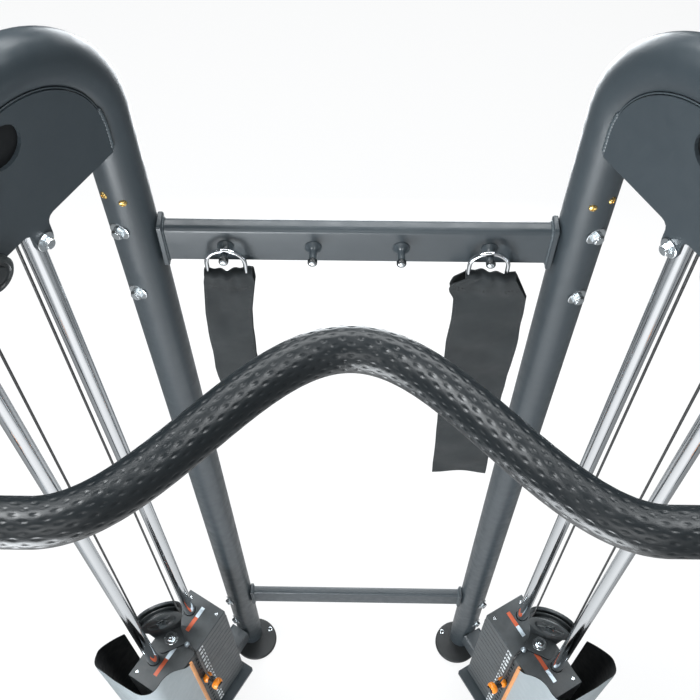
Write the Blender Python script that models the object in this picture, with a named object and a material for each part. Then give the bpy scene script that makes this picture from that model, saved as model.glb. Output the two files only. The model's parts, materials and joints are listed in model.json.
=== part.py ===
"""Functional trainer: two weight-stack towers of bent round tube, joined by two rear
crossbars and a wave-shaped pull-up bar. Metres, +Z up, front towards -Y, and the origin
on the floor at the middle of the footprint.

Each tower is drawn in its own coordinates (run, across, z): run goes from the rear
upright to the front leg, across goes towards the inside of the machine. Names ending in
_RUN and _ACROSS are places or spans in these coordinates."""

import math

import bmesh
import bpy
from mathutils import Matrix, Vector

# ---- shared dimensions ---------------------------------------------------------------
GAP = 0.0004               # clearance between fitted parts

# Hoop of each tower
UPRIGHT_X = 0.292          # rear upright axis from the centre plane
UPRIGHT_Y = 0.3343         # rear upright axis, behind the origin
TOE_DEG = 31.0             # each hoop opens outwards from the depth axis
HOOP_SPAN = 0.780          # rear upright axis to front leg axis
HOOP_TOP = 2.121           # axis height of the top run
TUBE_RADIUS = 0.0315       # 63 mm frame tube
REAR_BEND = 0.150          # bend radii of the tube axis
FRONT_BEND = 0.100

# Base tube and deck
BASE_Z = 0.098             # axis height of the base tube
BASE_HALF_HEIGHT = 0.030
BASE_HALF_WIDTH = 0.025
DECK_TOP = BASE_Z + 0.0310

# Guide rods and adjustment column
ROD_RADIUS = 0.0125
ROD_RUNS = (0.151, 0.281)
ROD_LOW = BASE_Z - 0.004
ROD_TOP = 1.9145
COLUMN_RUN = 0.590
COLUMN_RADIUS = 0.0254
COLUMN_LOW = BASE_Z + BASE_HALF_HEIGHT + 0.0005
COLUMN_TOP = 1.8885

# Weight stack, from the top down: head plate, lifted plates, resting plates
STEM_RUN = 0.2235          # selector stem, pin and floating pulley
STEM_RADIUS = 0.0120
STACK_RUN = (0.1115, 0.3355)
STACK_ACROSS = (-0.0275, 0.0685)
STACK_TOP = 0.587
HEAD_THICK = 0.0250
WEIGHT_PITCH = 0.0262      # one weight plate with its gap
WEIGHTS_LIFTED = 6         # plates above the pin, under the head plate
WEIGHTS_REST = 10
LIFTED_TOP = STACK_TOP - HEAD_THICK - 0.0005
REST_TOP = LIFTED_TOP - WEIGHTS_LIFTED * WEIGHT_PITCH
REST_LOW = REST_TOP - WEIGHTS_REST * WEIGHT_PITCH
PIN_Z = REST_TOP + 0.5 * WEIGHT_PITCH
PIN_RADIUS = 0.0048
PIN_HOLE_RADIUS = PIN_RADIUS + 0.0014

# Pulleys
PULLEY_RADIUS = 0.045
PULLEY_WIDTH = 0.0145
PULLEY_ACROSS = 0.0077     # paired pulleys stand this far either side of the hoop plane
CABLE_SINK = 0.005         # cable axis below the pulley's rim
CABLE_REACH = PULLEY_RADIUS - CABLE_SINK
BOLT_RADIUS = 0.0048

# ---- materials -----------------------------------------------------------------------
# name: base colour, roughness, metallic
FINISHES = {
    "frame": ((0.085, 0.105, 0.118), 0.45, 0.35),
    "chrome": ((0.78, 0.80, 0.82), 0.12, 1.0),
    "iron": ((0.035, 0.040, 0.043), 0.55, 0.2),
    "rubber": ((0.020, 0.021, 0.022), 0.60, 0.0),
    "nylon": ((0.045, 0.050, 0.054), 0.40, 0.0),
    "shroud": ((0.30, 0.32, 0.33), 0.50, 0.0),
    "orange": ((0.95, 0.30, 0.03), 0.40, 0.0),
    "webbing": ((0.015, 0.015, 0.016), 0.85, 0.0),
    "cable": ((0.012, 0.012, 0.013), 0.35, 0.0),
}


def make_material(name, colour, roughness, metallic):
    made = bpy.data.materials.new("mat_" + name)
    made.use_nodes = True
    shader = made.node_tree.nodes["Principled BSDF"]
    shader.inputs["Base Color"].default_value = (*colour, 1.0)
    shader.inputs["Roughness"].default_value = roughness
    shader.inputs["Metallic"].default_value = metallic
    made.diffuse_color = (*colour, 1.0)
    return made


for old in list(bpy.data.objects):
    bpy.data.objects.remove(old, do_unlink=True)

MATERIALS = {name: make_material(name, *finish) for name, finish in FINISHES.items()}


# ---- mesh builders, each returning a closed bmesh ------------------------------------
def box(x_span, y_span, z_span, bevel, segments, axis=None):
    """A bevelled box; with an axis, only the edges along it are bevelled."""
    solid = bmesh.new()
    bmesh.ops.create_cube(solid, size=1.0)
    for vert in solid.verts:
        vert.co = Vector([(low + high) / 2 + unit * (high - low)
                          for unit, (low, high) in zip(vert.co, (x_span, y_span, z_span))])
    edges = list(solid.edges)
    if axis:
        index = "xyz".index(axis)
        edges = [edge for edge in edges
                 if abs((edge.verts[0].co - edge.verts[1].co).normalized()[index]) > 0.9]
    bmesh.ops.bevel(solid, geom=edges, offset=bevel, segments=segments, profile=0.5,
                    affect="EDGES")
    return solid


def cylinder(start, end, radius, sides, end_radius=None):
    start, end = Vector(start), Vector(end)
    solid = bmesh.new()
    bmesh.ops.create_cone(solid, cap_ends=True, segments=sides, radius1=radius,
                          radius2=radius if end_radius is None else end_radius,
                          depth=(end - start).length)
    turn = (end - start).to_track_quat("Z", "Y").to_matrix().to_4x4()
    bmesh.ops.transform(solid, matrix=Matrix.Translation((start + end) / 2) @ turn,
                        verts=solid.verts)
    return solid


def post(run, low, high, radius, sides):
    """Vertical cylinder in the hoop plane."""
    return cylinder((run, 0, low), (run, 0, high), radius, sides)


def cross_pin(run, z, start, end, radius, sides):
    """Cylinder lying across the hoop plane."""
    return cylinder((run, start, z), (run, end, z), radius, sides)


def prism(outline, start, end):
    """A flat (run, z) outline given a thickness across the hoop plane."""
    solid = bmesh.new()
    face = solid.faces.new([solid.verts.new((run, start, z)) for run, z in outline])
    made = bmesh.ops.extrude_face_region(solid, geom=[face])
    moved = [item for item in made["geom"] if isinstance(item, bmesh.types.BMVert)]
    bmesh.ops.translate(solid, vec=Vector((0, end - start, 0)), verts=moved)
    bmesh.ops.recalc_face_normals(solid, faces=solid.faces)
    return solid


def lathe(profile, centre, axis, steps):
    """A turned piece: (radius, along) points, closed onto themselves or their axis."""
    solid = bmesh.new()
    verts = [solid.verts.new((radius, 0.0, along)) for radius, along in profile]
    edges = [solid.edges.new(pair) for pair in zip(verts, verts[1:] + verts[:1])
             if any(vert.co.x >= 1e-9 for vert in pair)]
    bmesh.ops.spin(solid, geom=verts + edges, cent=(0, 0, 0), axis=(0, 0, 1),
                   angle=2 * math.pi, steps=steps, use_merge=True)
    bmesh.ops.remove_doubles(solid, verts=solid.verts, dist=1e-6)
    bmesh.ops.dissolve_degenerate(solid, edges=solid.edges, dist=1e-7)
    bmesh.ops.recalc_face_normals(solid, faces=solid.faces)
    turn = Vector(axis).to_track_quat("Z", "Y").to_matrix().to_4x4()
    bmesh.ops.transform(solid, matrix=Matrix.Translation(Vector(centre)) @ turn,
                        verts=solid.verts)
    return solid


def skin(point_rings, closed=False):
    """Rings of points joined by quads, capped at both ends or closed into a loop."""
    solid = bmesh.new()
    rings = [[solid.verts.new(point) for point in ring] for ring in point_rings]
    pairs = list(zip(rings, rings[1:]))
    if closed:
        pairs.append((rings[-1], rings[0]))
    for near, far in pairs:
        for k in range(len(near)):
            after = (k + 1) % len(near)
            solid.faces.new((near[k], near[after], far[after], far[k]))
    if not closed:
        solid.faces.new(rings[0])
        solid.faces.new(rings[-1])
    bmesh.ops.recalc_face_normals(solid, faces=solid.faces)
    return solid


def sweep(path, radius, sides, closed=False):
    """A round bar along a path, with flat ends or joined into a ring."""
    points = [Vector(point) for point in path]
    count = len(points)
    angles = [2 * math.pi * k / sides for k in range(sides)]
    rings = []
    side = None
    for i, point in enumerate(points):
        if closed:
            tangent = (points[(i + 1) % count] - points[i - 1]).normalized()
        else:
            tangent = (points[min(i + 1, count - 1)] - points[max(i - 1, 0)]).normalized()
        if side is None:
            side = tangent.orthogonal().normalized()
        side = (side - tangent * side.dot(tangent)).normalized()
        other = tangent.cross(side)
        rings.append([point + radius * (math.cos(angle) * side + math.sin(angle) * other)
                      for angle in angles])
    return skin(rings, closed)


def arc(centre_u, centre_v, radius, start, end, steps):
    """Points on a plane arc between two angles in degrees, both ends included."""
    angles = [math.radians(start + (end - start) * i / steps) for i in range(steps + 1)]
    return [(centre_u + radius * math.cos(angle), centre_v + radius * math.sin(angle))
            for angle in angles]


def as_object(solid, name):
    mesh = bpy.data.meshes.new(name)
    solid.to_mesh(mesh)
    solid.free()
    made = bpy.data.objects.new(name, mesh)
    bpy.context.scene.collection.objects.link(made)
    return made


def combine(solid, joined=(), cuts=()):
    """A solid with others united to it, then others cut from it, as evaluated Booleans."""
    base = as_object(solid, "work")
    helpers = []
    for operation, group in (("UNION", joined), ("DIFFERENCE", cuts)):
        for i, other in enumerate(group):
            helper = as_object(other, "helper")
            helper.hide_render = True
            helper.display_type = "WIRE"
            helpers.append(helper)
            modifier = base.modifiers.new(f"{operation}{i}", "BOOLEAN")
            modifier.operation = operation
            modifier.solver = "EXACT"
            modifier.object = helper
    bpy.context.view_layer.update()
    graph = bpy.context.evaluated_depsgraph_get()
    result = bmesh.new()
    result.from_mesh(base.evaluated_get(graph).to_mesh())
    for other in [base, *helpers]:
        bpy.data.objects.remove(other, do_unlink=True)
    bmesh.ops.remove_doubles(result, verts=result.verts, dist=2e-6)
    bmesh.ops.dissolve_degenerate(result, edges=result.edges, dist=1e-6)
    return result


# ---- placing -------------------------------------------------------------------------
TOE_SIN, TOE_COS = math.sin(math.radians(TOE_DEG)), math.cos(math.radians(TOE_DEG))


def tower_matrix(side):
    """From tower coordinates to the world; the right tower mirrors the left."""
    matrix = Matrix(((-TOE_SIN, TOE_COS, 0, -UPRIGHT_X),
                     (-TOE_COS, -TOE_SIN, 0, UPRIGHT_Y),
                     (0, 0, 1, 0),
                     (0, 0, 0, 1)))
    if side == "r":
        matrix = Matrix.Diagonal((-1, 1, 1, 1)) @ matrix
    return matrix


def place(solid, name, material, matrix=Matrix.Identity(4), origin=(0, 0, 0), smooth=35.0,
          mirrored=False):
    """Moves the shape to world space and makes it an object with its world origin."""
    bmesh.ops.transform(solid, matrix=matrix, verts=solid.verts)
    if mirrored:
        bmesh.ops.reverse_faces(solid, faces=solid.faces)
    bmesh.ops.translate(solid, vec=-Vector(origin), verts=solid.verts)
    made = as_object(solid, name)
    made.data.materials.append(MATERIALS[material])
    made.location = origin
    made.data.shade_smooth()
    made.data.set_sharp_from_angle(angle=math.radians(smooth))


def both(name, material, build, origin=None):
    """One piece in each tower, with an optional origin in tower coordinates."""
    for side in ("l", "r"):
        matrix = tower_matrix(side)
        world_origin = matrix @ Vector(origin) if origin else (0, 0, 0)
        place(build(), f"{name}_{side}", material, matrix, world_origin,
              mirrored=side == "r")


# ---- hoops ---------------------------------------------------------------------------
TUBE_END_Z = 0.004         # tube ends, inside the foot discs
LEG_MID_Z = 0.9            # extra path point on each leg
FOOT_RUN = 0.008           # foot disc centre off the tube axis, inwards along the run
FOOT_ACROSS = 0.0215       # and across it
FOOT_PROFILE = [           # radius, height
    (0, 0), (0.0555, 0), (0.0575, 0.002), (0.0575, 0.007), (0.0555, 0.009), (0, 0.009),
]


def hoop():
    """Bent tube from the rear foot over the top to the front foot, with a disc on each end."""
    path = [(0, TUBE_END_Z), (0, LEG_MID_Z)]
    path += arc(REAR_BEND, HOOP_TOP - REAR_BEND, REAR_BEND, 180, 90, 9)
    path += arc(HOOP_SPAN - FRONT_BEND, HOOP_TOP - FRONT_BEND, FRONT_BEND, 90, 0, 8)
    path += [(HOOP_SPAN, LEG_MID_Z), (HOOP_SPAN, TUBE_END_Z)]
    feet = [lathe(FOOT_PROFILE, (run, across, 0), (0, 0, 1), 16)
            for run, across in ((FOOT_RUN, FOOT_ACROSS), (HOOP_SPAN - FOOT_RUN, -FOOT_ACROSS))]
    return combine(sweep([(run, 0, z) for run, z in path], TUBE_RADIUS, 16), joined=feet)


both("hoop_tube", "frame", hoop)

# ---- gusset plates under the top run -------------------------------------------------
GUSSET_ACROSS = 0.027      # outer face of each plate from the hoop plane
GUSSET_THICK = 0.005
GUSSET_LOW = 1.938         # straight lower edge
LOBE_RADIUS = 0.0135       # lobes that hang below the edge at the rods and the column
LOBE_DROP = 0.027
LOBE_FILLET = 0.010
REAR_HOLE = (0.156, 2.061)   # run, z
FRONT_HOLE = (0.430, 2.005)
FRONT_HOLE_RADIUS = 0.036


def gusset(start, end, rear_hole_radius):
    """Plate that fills the top of the hoop, with two holes and three lobes."""
    # Distance from the tube's axis at which the plate's inner face meets the tube
    inset = math.sqrt(TUBE_RADIUS ** 2 - (GUSSET_ACROSS - GUSSET_THICK) ** 2) + 0.0006
    outline = [(inset, GUSSET_LOW)]
    outline += arc(REAR_BEND, HOOP_TOP - REAR_BEND, REAR_BEND - inset, 180, 90, 12)
    outline += arc(HOOP_SPAN - FRONT_BEND, HOOP_TOP - FRONT_BEND, FRONT_BEND - inset, 90, 0, 9)
    outline += [(HOOP_SPAN - inset, GUSSET_LOW)]
    fillet_z = GUSSET_LOW - LOBE_FILLET
    for centre in (COLUMN_RUN, ROD_RUNS[1], ROD_RUNS[0]):
        outline += arc(centre + LOBE_RADIUS + LOBE_FILLET, fillet_z, LOBE_FILLET, 90, 180, 3)
        outline += arc(centre, GUSSET_LOW - LOBE_DROP, LOBE_RADIUS, 0, -180, 6)
        outline += arc(centre - LOBE_RADIUS - LOBE_FILLET, fillet_z, LOBE_FILLET, 0, 90, 3)
    holes = [cross_pin(*REAR_HOLE, -0.1, 0.1, rear_hole_radius, 24),
             cross_pin(*FRONT_HOLE, -0.1, 0.1, FRONT_HOLE_RADIUS, 24)]
    return combine(prism(outline, start, end), cuts=holes)


both("top_plate_inner", "frame",
     lambda: gusset(GUSSET_ACROSS - GUSSET_THICK, GUSSET_ACROSS, rear_hole_radius=0.025))
both("top_plate_outer", "frame",
     lambda: gusset(-GUSSET_ACROSS, -GUSSET_ACROSS + GUSSET_THICK, rear_hole_radius=0.012))


# ---- base tube -----------------------------------------------------------------------
def base_tube():
    """Rectangular tube between the hoop's two legs, with the deck that carries the stack."""
    end = TUBE_RADIUS + GAP
    tube = box((end, HOOP_SPAN - end), (-BASE_HALF_WIDTH, BASE_HALF_WIDTH),
               (BASE_Z - BASE_HALF_HEIGHT, BASE_Z + BASE_HALF_HEIGHT), 0.006, 2, "x")
    # The second deck plate lies a little inside the first one's top and bottom faces.
    decks = [box((0.100, 0.300), (-0.0300, 0.090), (BASE_Z + 0.0200, DECK_TOP), 0.004, 1, "z"),
             box((0.262, 0.380), (-0.1000, 0.086), (BASE_Z + 0.0205, BASE_Z + 0.0305),
                 0.004, 1, "z")]
    sockets = [post(run, BASE_Z - 0.005, 0.3, ROD_RADIUS + GAP, 20) for run in ROD_RUNS]
    return combine(tube, joined=decks, cuts=sockets)


both("base_tube", "frame", base_tube)

# ---- rear crossbars ------------------------------------------------------------------
CROSSBAR_END = UPRIGHT_X - TUBE_RADIUS - 0.0005
CROSSBAR_FRONT = UPRIGHT_Y - 0.016
TOP_BAR_Z, LOW_BAR_Z = 1.745, 0.345
FLANGE_THICK = 0.007
PEG_PITCH = 0.116
PEGS_X = [PEG_PITCH * k for k in (-1.5, -0.5, 0.5, 1.5)]
# Each peg's shank, collar and tip: start and end as (y from the bar's front face, rise),
# then the start and end radii
PEG_PARTS = [
    ((0.006, 0.0), (-0.036, 0.004), 0.0050, 0.0050),
    ((0.002, 0.0), (-0.0035, 0.0), 0.0105, 0.0085),
    ((-0.028, 0.0032), (-0.037, 0.0042), 0.0078, 0.0062),
]


def crossbar(z, half_height, depth, pegs_x=()):
    """Bar between the rear uprights, with an end flange at each upright and any pegs."""
    front, back = CROSSBAR_FRONT, CROSSBAR_FRONT + depth
    half_length = CROSSBAR_END - 0.004
    bar = box((-half_length, half_length), (front, back), (z - half_height, z + half_height),
              depth * 0.22, 3, "x")
    parts = []
    for sign in (-1, 1):
        x_span = sorted((sign * (CROSSBAR_END - FLANGE_THICK), sign * CROSSBAR_END))
        parts.append(box(x_span, (front - 0.004, back + 0.004),
                         (z - half_height - 0.007, z + half_height + 0.007), 0.004, 2, "x"))
    for x in pegs_x:
        for (start_y, start_rise), (end_y, end_rise), radius, end_radius in PEG_PARTS:
            parts.append(cylinder((x, front + start_y, z + start_rise),
                                  (x, front + end_y, z + end_rise), radius, 8, end_radius))
    return combine(bar, joined=parts)


place(crossbar(TOP_BAR_Z, half_height=0.034, depth=0.022, pegs_x=PEGS_X),
      "crossbar_top", "frame")
place(crossbar(LOW_BAR_Z, half_height=0.032, depth=0.020), "crossbar_bottom", "frame")

# ---- pull-up bar ---------------------------------------------------------------------
BAR_RADIUS = 0.0160
GRIP_RADIUS = 0.0190
BAR_Z = HOOP_TOP
BAR_Y = -0.2325            # straight outer parts
BAR_HUMP = 0.150           # how far the wave goes back in the middle
BAR_WAVE_HALF = 0.228      # half width of the wave
BAR_WAVE_STEPS = 12        # steps in each half of the wave
GRIP_END_X = 0.560


def bar_path(end_x):
    """Level wave: straight at the outside, bent to the rear in the middle."""
    points = [(-end_x, BAR_Y, BAR_Z)]
    for i in range(-BAR_WAVE_STEPS, BAR_WAVE_STEPS + 1):
        share = i / BAR_WAVE_STEPS
        y = BAR_Y + BAR_HUMP * (0.5 + 0.5 * math.cos(math.pi * share))
        points.append((share * BAR_WAVE_HALF, y, BAR_Z))
    return points + [(end_x, BAR_Y, BAR_Z)]


def pull_up_bar():
    """Bent bar whose two ends are saddle cut to the hoops' top runs."""
    # The bar's axis ends where it meets the axis of each top run.
    end_x = UPRIGHT_X + (UPRIGHT_Y - BAR_Y) / TOE_COS * TOE_SIN
    cuts = []
    for side in ("l", "r"):
        matrix = tower_matrix(side)
        cuts.append(cylinder(matrix @ Vector((0.20, 0, HOOP_TOP)),
                             matrix @ Vector((0.76, 0, HOOP_TOP)), TUBE_RADIUS + 0.0012, 24))
    return combine(sweep(bar_path(end_x), BAR_RADIUS, 8), cuts=cuts)


def grip():
    """Rubber sleeve on the bar, an open tube so that the steel passes through it."""
    bore = sweep(bar_path(GRIP_END_X + 0.04), BAR_RADIUS + 0.0006, 8)
    return combine(sweep(bar_path(GRIP_END_X), GRIP_RADIUS, 12), cuts=[bore])


place(pull_up_bar(), "pull_up_bar", "frame")
place(grip(), "pull_up_grip", "rubber", smooth=60)

# ---- adjustment column ---------------------------------------------------------------
COLUMN_HOLES = 21
COLUMN_HOLE_LOW = 0.33     # lowest hole
COLUMN_HOLE_PITCH = 0.075


def column():
    """Chrome column with a row of pin holes in its inner side."""
    holes = [cross_pin(COLUMN_RUN, COLUMN_HOLE_LOW + i * COLUMN_HOLE_PITCH, 0.008, 0.05,
                       0.0056, 6) for i in range(COLUMN_HOLES)]
    return combine(post(COLUMN_RUN, COLUMN_LOW, COLUMN_TOP, COLUMN_RADIUS, 24), cuts=holes)


both("adjust_column", "chrome", column)

# ---- fixed pulleys -------------------------------------------------------------------
SLEEVE_RADIUS = 0.036                             # carriage sleeve
SWIVEL_RUN = COLUMN_RUN + SLEEVE_RADIUS + 0.022   # vertical axis of the swivel
TOP_PULLEY_Z = 2.005
LOW_PULLEY_Z = 0.190
TOP_PULLEY_RUNS = (0.206, 0.288)                  # the two pulleys above the stack


def pulley(run, across, z, radius=PULLEY_RADIUS):
    """Grooved nylon sheave, bored for its axle bolt."""
    half = PULLEY_WIDTH / 2
    bore = 0.0052
    groove = radius - 0.008
    profile = [(bore, -half), (radius, -half), (radius, -half + 0.0025), (groove, -0.002),
               (groove, 0.002), (radius, half - 0.0025), (radius, half), (bore, half)]
    return lathe(profile, (run, across, z), (0, 1, 0), 16)


FIXED_PULLEYS = {          # run, across, z
    "top_pulley_rear": (TOP_PULLEY_RUNS[0], -PULLEY_ACROSS, TOP_PULLEY_Z),
    "top_pulley_front": (TOP_PULLEY_RUNS[1], PULLEY_ACROSS, TOP_PULLEY_Z),
    "column_pulley_rear": (SWIVEL_RUN - CABLE_REACH, -PULLEY_ACROSS, TOP_PULLEY_Z),
    "column_pulley_front": (SWIVEL_RUN + CABLE_REACH, PULLEY_ACROSS, TOP_PULLEY_Z),
    "column_pulley_low": (SWIVEL_RUN + CABLE_REACH, 0.0, LOW_PULLEY_Z),
}
for pulley_name, centre in FIXED_PULLEYS.items():
    both(pulley_name, "nylon", lambda: pulley(*centre), centre)

# ---- carriage, pop pin and swivel ----------------------------------------------------
CARRIAGE_Z = 1.155
CARRIAGE_HEIGHT = 0.150
EAR_THICK = 0.010
EAR_INSET = 0.004          # ears from the ends of the sleeve
SHEAVE_RADIUS = 0.038
SHEAVE_RUN = SWIVEL_RUN + SHEAVE_RADIUS - CABLE_SINK
POP_KNOB_PROFILE = [       # radius, across
    (0, 0.0570), (0.0130, 0.0570), (0.0175, 0.0700), (0.0175, 0.0800), (0.0140, 0.0880),
    (0, 0.0890),
]


def carriage():
    """Sleeve that slides on the column, with the boss of the pop pin and the swivel's ears."""
    low, high = CARRIAGE_Z - CARRIAGE_HEIGHT / 2, CARRIAGE_Z + CARRIAGE_HEIGHT / 2
    sleeve = post(COLUMN_RUN, low, high, SLEEVE_RADIUS, 24)
    boss = cross_pin(COLUMN_RUN, CARRIAGE_Z, 0.020, 0.056, 0.0140, 16)
    ears = [box((COLUMN_RUN + 0.020, SWIVEL_RUN + 0.016), (-0.016, 0.016), (z, z + EAR_THICK),
                0.005, 2, "z")
            for z in (low + EAR_INSET, high - EAR_INSET - EAR_THICK)]
    cuts = [post(COLUMN_RUN, 0, 3, COLUMN_RADIUS + 0.0008, 24),
            cross_pin(COLUMN_RUN, CARRIAGE_Z, 0.010, 0.10, 0.0054, 12),
            post(SWIVEL_RUN, 0, 3, 0.0095, 16)]
    return combine(sleeve, joined=[boss, *ears], cuts=cuts)


def pop_pin():
    """Spring pin with its knob, drawn just clear of the column so the carriage can slide."""
    shaft = cross_pin(COLUMN_RUN, CARRIAGE_Z, COLUMN_RADIUS + 0.0010, 0.066, 0.0048, 14)
    knob = lathe(POP_KNOB_PROFILE, (COLUMN_RUN, 0, CARRIAGE_Z), (0, 1, 0), 16)
    return combine(shaft, joined=[knob])


def swivel():
    """Bracket that turns on two trunnions in the ears and carries a sheave on its bolt."""
    ear = CARRIAGE_HEIGHT / 2 - EAR_INSET - EAR_THICK
    low, high = CARRIAGE_Z - ear + 0.001, CARRIAGE_Z + ear - 0.001
    front = SWIVEL_RUN + 0.012
    back = SWIVEL_RUN - 0.010
    outer, inner = 0.0150, 0.0115      # faces of the cheeks, either side of the hoop plane
    ends = [box((SWIVEL_RUN - 0.012, front), (-outer, outer), z_span, 0.003, 1, "z")
            for z_span in ((low, low + 0.004), (high - 0.004, high))]
    trunnions = [post(SWIVEL_RUN, start, end, 0.0090, 16)
                 for start, end in ((low - 0.012, low + 0.002), (high - 0.002, high + 0.012))]
    outline = [(back, low), (front, low), *arc(SHEAVE_RUN, CARRIAGE_Z, 0.018, -60, 60, 6),
               (front, high), (back, high)]
    cheeks = [prism(outline, -outer, -inner), prism(outline, inner, outer)]
    axle = cross_pin(SHEAVE_RUN, CARRIAGE_Z, -0.0180, 0.0180, BOLT_RADIUS, 12)
    heads = [cross_pin(SHEAVE_RUN, CARRIAGE_Z, start, end, 0.0085, 6)
             for start, end in ((-0.0200, -0.0140), (0.0140, 0.0200))]
    # The bore runs up from mid height, so only the upper trunnion is hollow.
    return combine(ends[0], joined=[ends[1], *cheeks, *trunnions, axle, *heads],
                   cuts=[post(SWIVEL_RUN, CARRIAGE_Z, 3, 0.0050, 12)])


both("carriage", "frame", carriage, (COLUMN_RUN, 0, CARRIAGE_Z))
both("pop_pin", "orange", pop_pin, (COLUMN_RUN, 0.05, CARRIAGE_Z))
both("swivel_bracket", "frame", swivel, (SWIVEL_RUN, 0, CARRIAGE_Z))
both("swivel_pulley", "nylon", lambda: pulley(SHEAVE_RUN, 0, CARRIAGE_Z, SHEAVE_RADIUS),
     (SHEAVE_RUN, 0, CARRIAGE_Z))

# ---- weight stack --------------------------------------------------------------------
ROD_SLIDE = 0.0012         # clearance of the moving plates on the rods
GROOVE_HEIGHT = 0.0022
GROOVE_DEPTH = 0.0030
STEM_LOW = REST_TOP - 0.150
STEM_HOLES = 6             # pin holes of the stem at and below the pin
BUMPER_INSET = 0.006
SELECTOR_KNOB_PROFILE = [  # radius, across
    (0, 0.0700), (0.0075, 0.0700), (0.0110, 0.0740), (0.0110, 0.0820), (0.0070, 0.0860),
    (0.0070, 0.0960), (0.0120, 0.1010), (0.0130, 0.1070), (0.0115, 0.1130), (0, 0.1150),
]


def rod_bores(clearance):
    return [post(run, 0, 1, ROD_RADIUS + clearance, 16) for run in ROD_RUNS]


def weights(count, top):
    """One block with a groove at every joint, drilled for rods, stem and pin."""
    levels = []            # (inset, z) down the side of the block
    for i in range(count):
        joint = top - (i + 1) * WEIGHT_PITCH
        levels.append((0.0, top - i * WEIGHT_PITCH - (GAP if i == 0 else GROOVE_HEIGHT / 2)))
        levels.append((0.0, joint + (GAP if i == count - 1 else GROOVE_HEIGHT / 2)))
        if i < count - 1:
            levels.append((GROOVE_DEPTH, joint + GROOVE_HEIGHT / 2))
            levels.append((GROOVE_DEPTH, joint - GROOVE_HEIGHT / 2))
    (rear, front), (outer, inner) = STACK_RUN, STACK_ACROSS
    block = skin([((rear + inset, outer + inset, z), (front - inset, outer + inset, z),
                   (front - inset, inner - inset, z), (rear + inset, inner - inset, z))
                  for inset, z in levels])
    cuts = [*rod_bores(ROD_SLIDE), post(STEM_RUN, 0, 1, STEM_RADIUS + 0.0010, 16)]
    cuts += [cross_pin(STEM_RUN, top - (i + 0.5) * WEIGHT_PITCH, 0.006, 0.12,
                       PIN_HOLE_RADIUS, 6) for i in range(count)]
    return combine(block, cuts=cuts)


def bumper():
    """Rubber buffer between the stack and the deck, with a hole for each rod."""
    pad = box((STACK_RUN[0] + BUMPER_INSET, STACK_RUN[1] - BUMPER_INSET),
              (STACK_ACROSS[0] + BUMPER_INSET, STACK_ACROSS[1] - BUMPER_INSET),
              (DECK_TOP + 0.0005, REST_LOW - 0.0003), 0.004, 1, "z")
    return combine(pad, cuts=rod_bores(GAP))


def head_plate():
    """Top plate with its selector stem, which has a pin hole for each weight it reaches."""
    low = STACK_TOP - HEAD_THICK
    slab = box(STACK_RUN, STACK_ACROSS, (low, STACK_TOP), 0.0015, 1)
    steps = [*range(0, -STEM_HOLES, -1), *range(1, WEIGHTS_LIFTED)]
    holes = [cross_pin(STEM_RUN, PIN_Z + i * WEIGHT_PITCH, -0.05, 0.05, PIN_HOLE_RADIUS, 6)
             for i in steps]
    stem = combine(post(STEM_RUN, STEM_LOW, low + 0.004, STEM_RADIUS, 16), cuts=holes)
    return combine(slab, joined=[stem], cuts=rod_bores(ROD_SLIDE))


def selector_pin():
    shaft = cross_pin(STEM_RUN, PIN_Z, -0.0110, 0.0820, PIN_RADIUS, 14)
    knob = lathe(SELECTOR_KNOB_PROFILE, (STEM_RUN, 0, PIN_Z), (0, 1, 0), 20)
    return combine(shaft, joined=[knob])


both("weight_plates_lifted", "iron", lambda: weights(WEIGHTS_LIFTED, LIFTED_TOP),
     (STEM_RUN, 0, 0))
both("weight_plates_rest", "iron", lambda: weights(WEIGHTS_REST, REST_TOP))
both("stack_bumper", "rubber", bumper)
both("head_plate", "iron", head_plate, (STEM_RUN, 0, STACK_TOP))
both("selector_pin", "orange", selector_pin, (STEM_RUN, 0.07, PIN_Z))
for rod_name, rod_run in zip(("guide_rod_rear", "guide_rod_front"), ROD_RUNS):
    both(rod_name, "chrome", lambda: post(rod_run, ROD_LOW, ROD_TOP, ROD_RADIUS, 20))

# ---- floating pulley -----------------------------------------------------------------
FLOAT_TURN = -34.0         # degrees about the vertical
FLOAT_Z = 0.710
FLOAT_CENTRE = (STEM_RUN, 0, FLOAT_Z)


def float_turned(solid):
    """Turns a shape drawn in the hoop plane about the floating pulley's vertical."""
    centre = Vector(FLOAT_CENTRE)
    turn = Matrix.Rotation(math.radians(FLOAT_TURN), 4, "Z")
    bmesh.ops.transform(solid, matrix=Matrix.Translation(centre) @ turn
                        @ Matrix.Translation(-centre), verts=solid.verts)
    return solid


def float_bracket():
    """Upright plate and foot that hold the floating pulley, with its axle bolt."""
    low = STACK_TOP + 0.0006
    rear, front = STEM_RUN - 0.030, STEM_RUN + 0.030
    outer = -0.0165
    outline = [(rear, low), (front, low), *arc(STEM_RUN, FLOAT_Z, 0.0500, -8, 188, 14)]
    plate = prism(outline, outer, -0.0115)
    foot = box((rear, front), (outer, 0.0280), (low, low + 0.006), 0.004, 1, "z")
    axle = cross_pin(STEM_RUN, FLOAT_Z, -0.0200, 0.0145, BOLT_RADIUS, 12)
    heads = [cross_pin(STEM_RUN, FLOAT_Z, start, end, 0.0090, 6)
             for start, end in ((0.0085, 0.0160), (-0.0215, -0.0150))]
    return float_turned(combine(plate, joined=[foot, axle, *heads]))


both("float_bracket", "iron", float_bracket, FLOAT_CENTRE)
both("float_pulley", "nylon", lambda: float_turned(pulley(*FLOAT_CENTRE)), FLOAT_CENTRE)

# ---- shroud --------------------------------------------------------------------------
SHROUD_RUN = (0.2500, 0.3680)
SHROUD_ACROSS = (-0.095, 0.0775)
SHROUD_CORNER = 0.040
SHROUD_LOW = DECK_TOP + 0.0010
SHROUD_HALF_THICK = 0.0016
SHROUD_STEPS = 24


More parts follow.
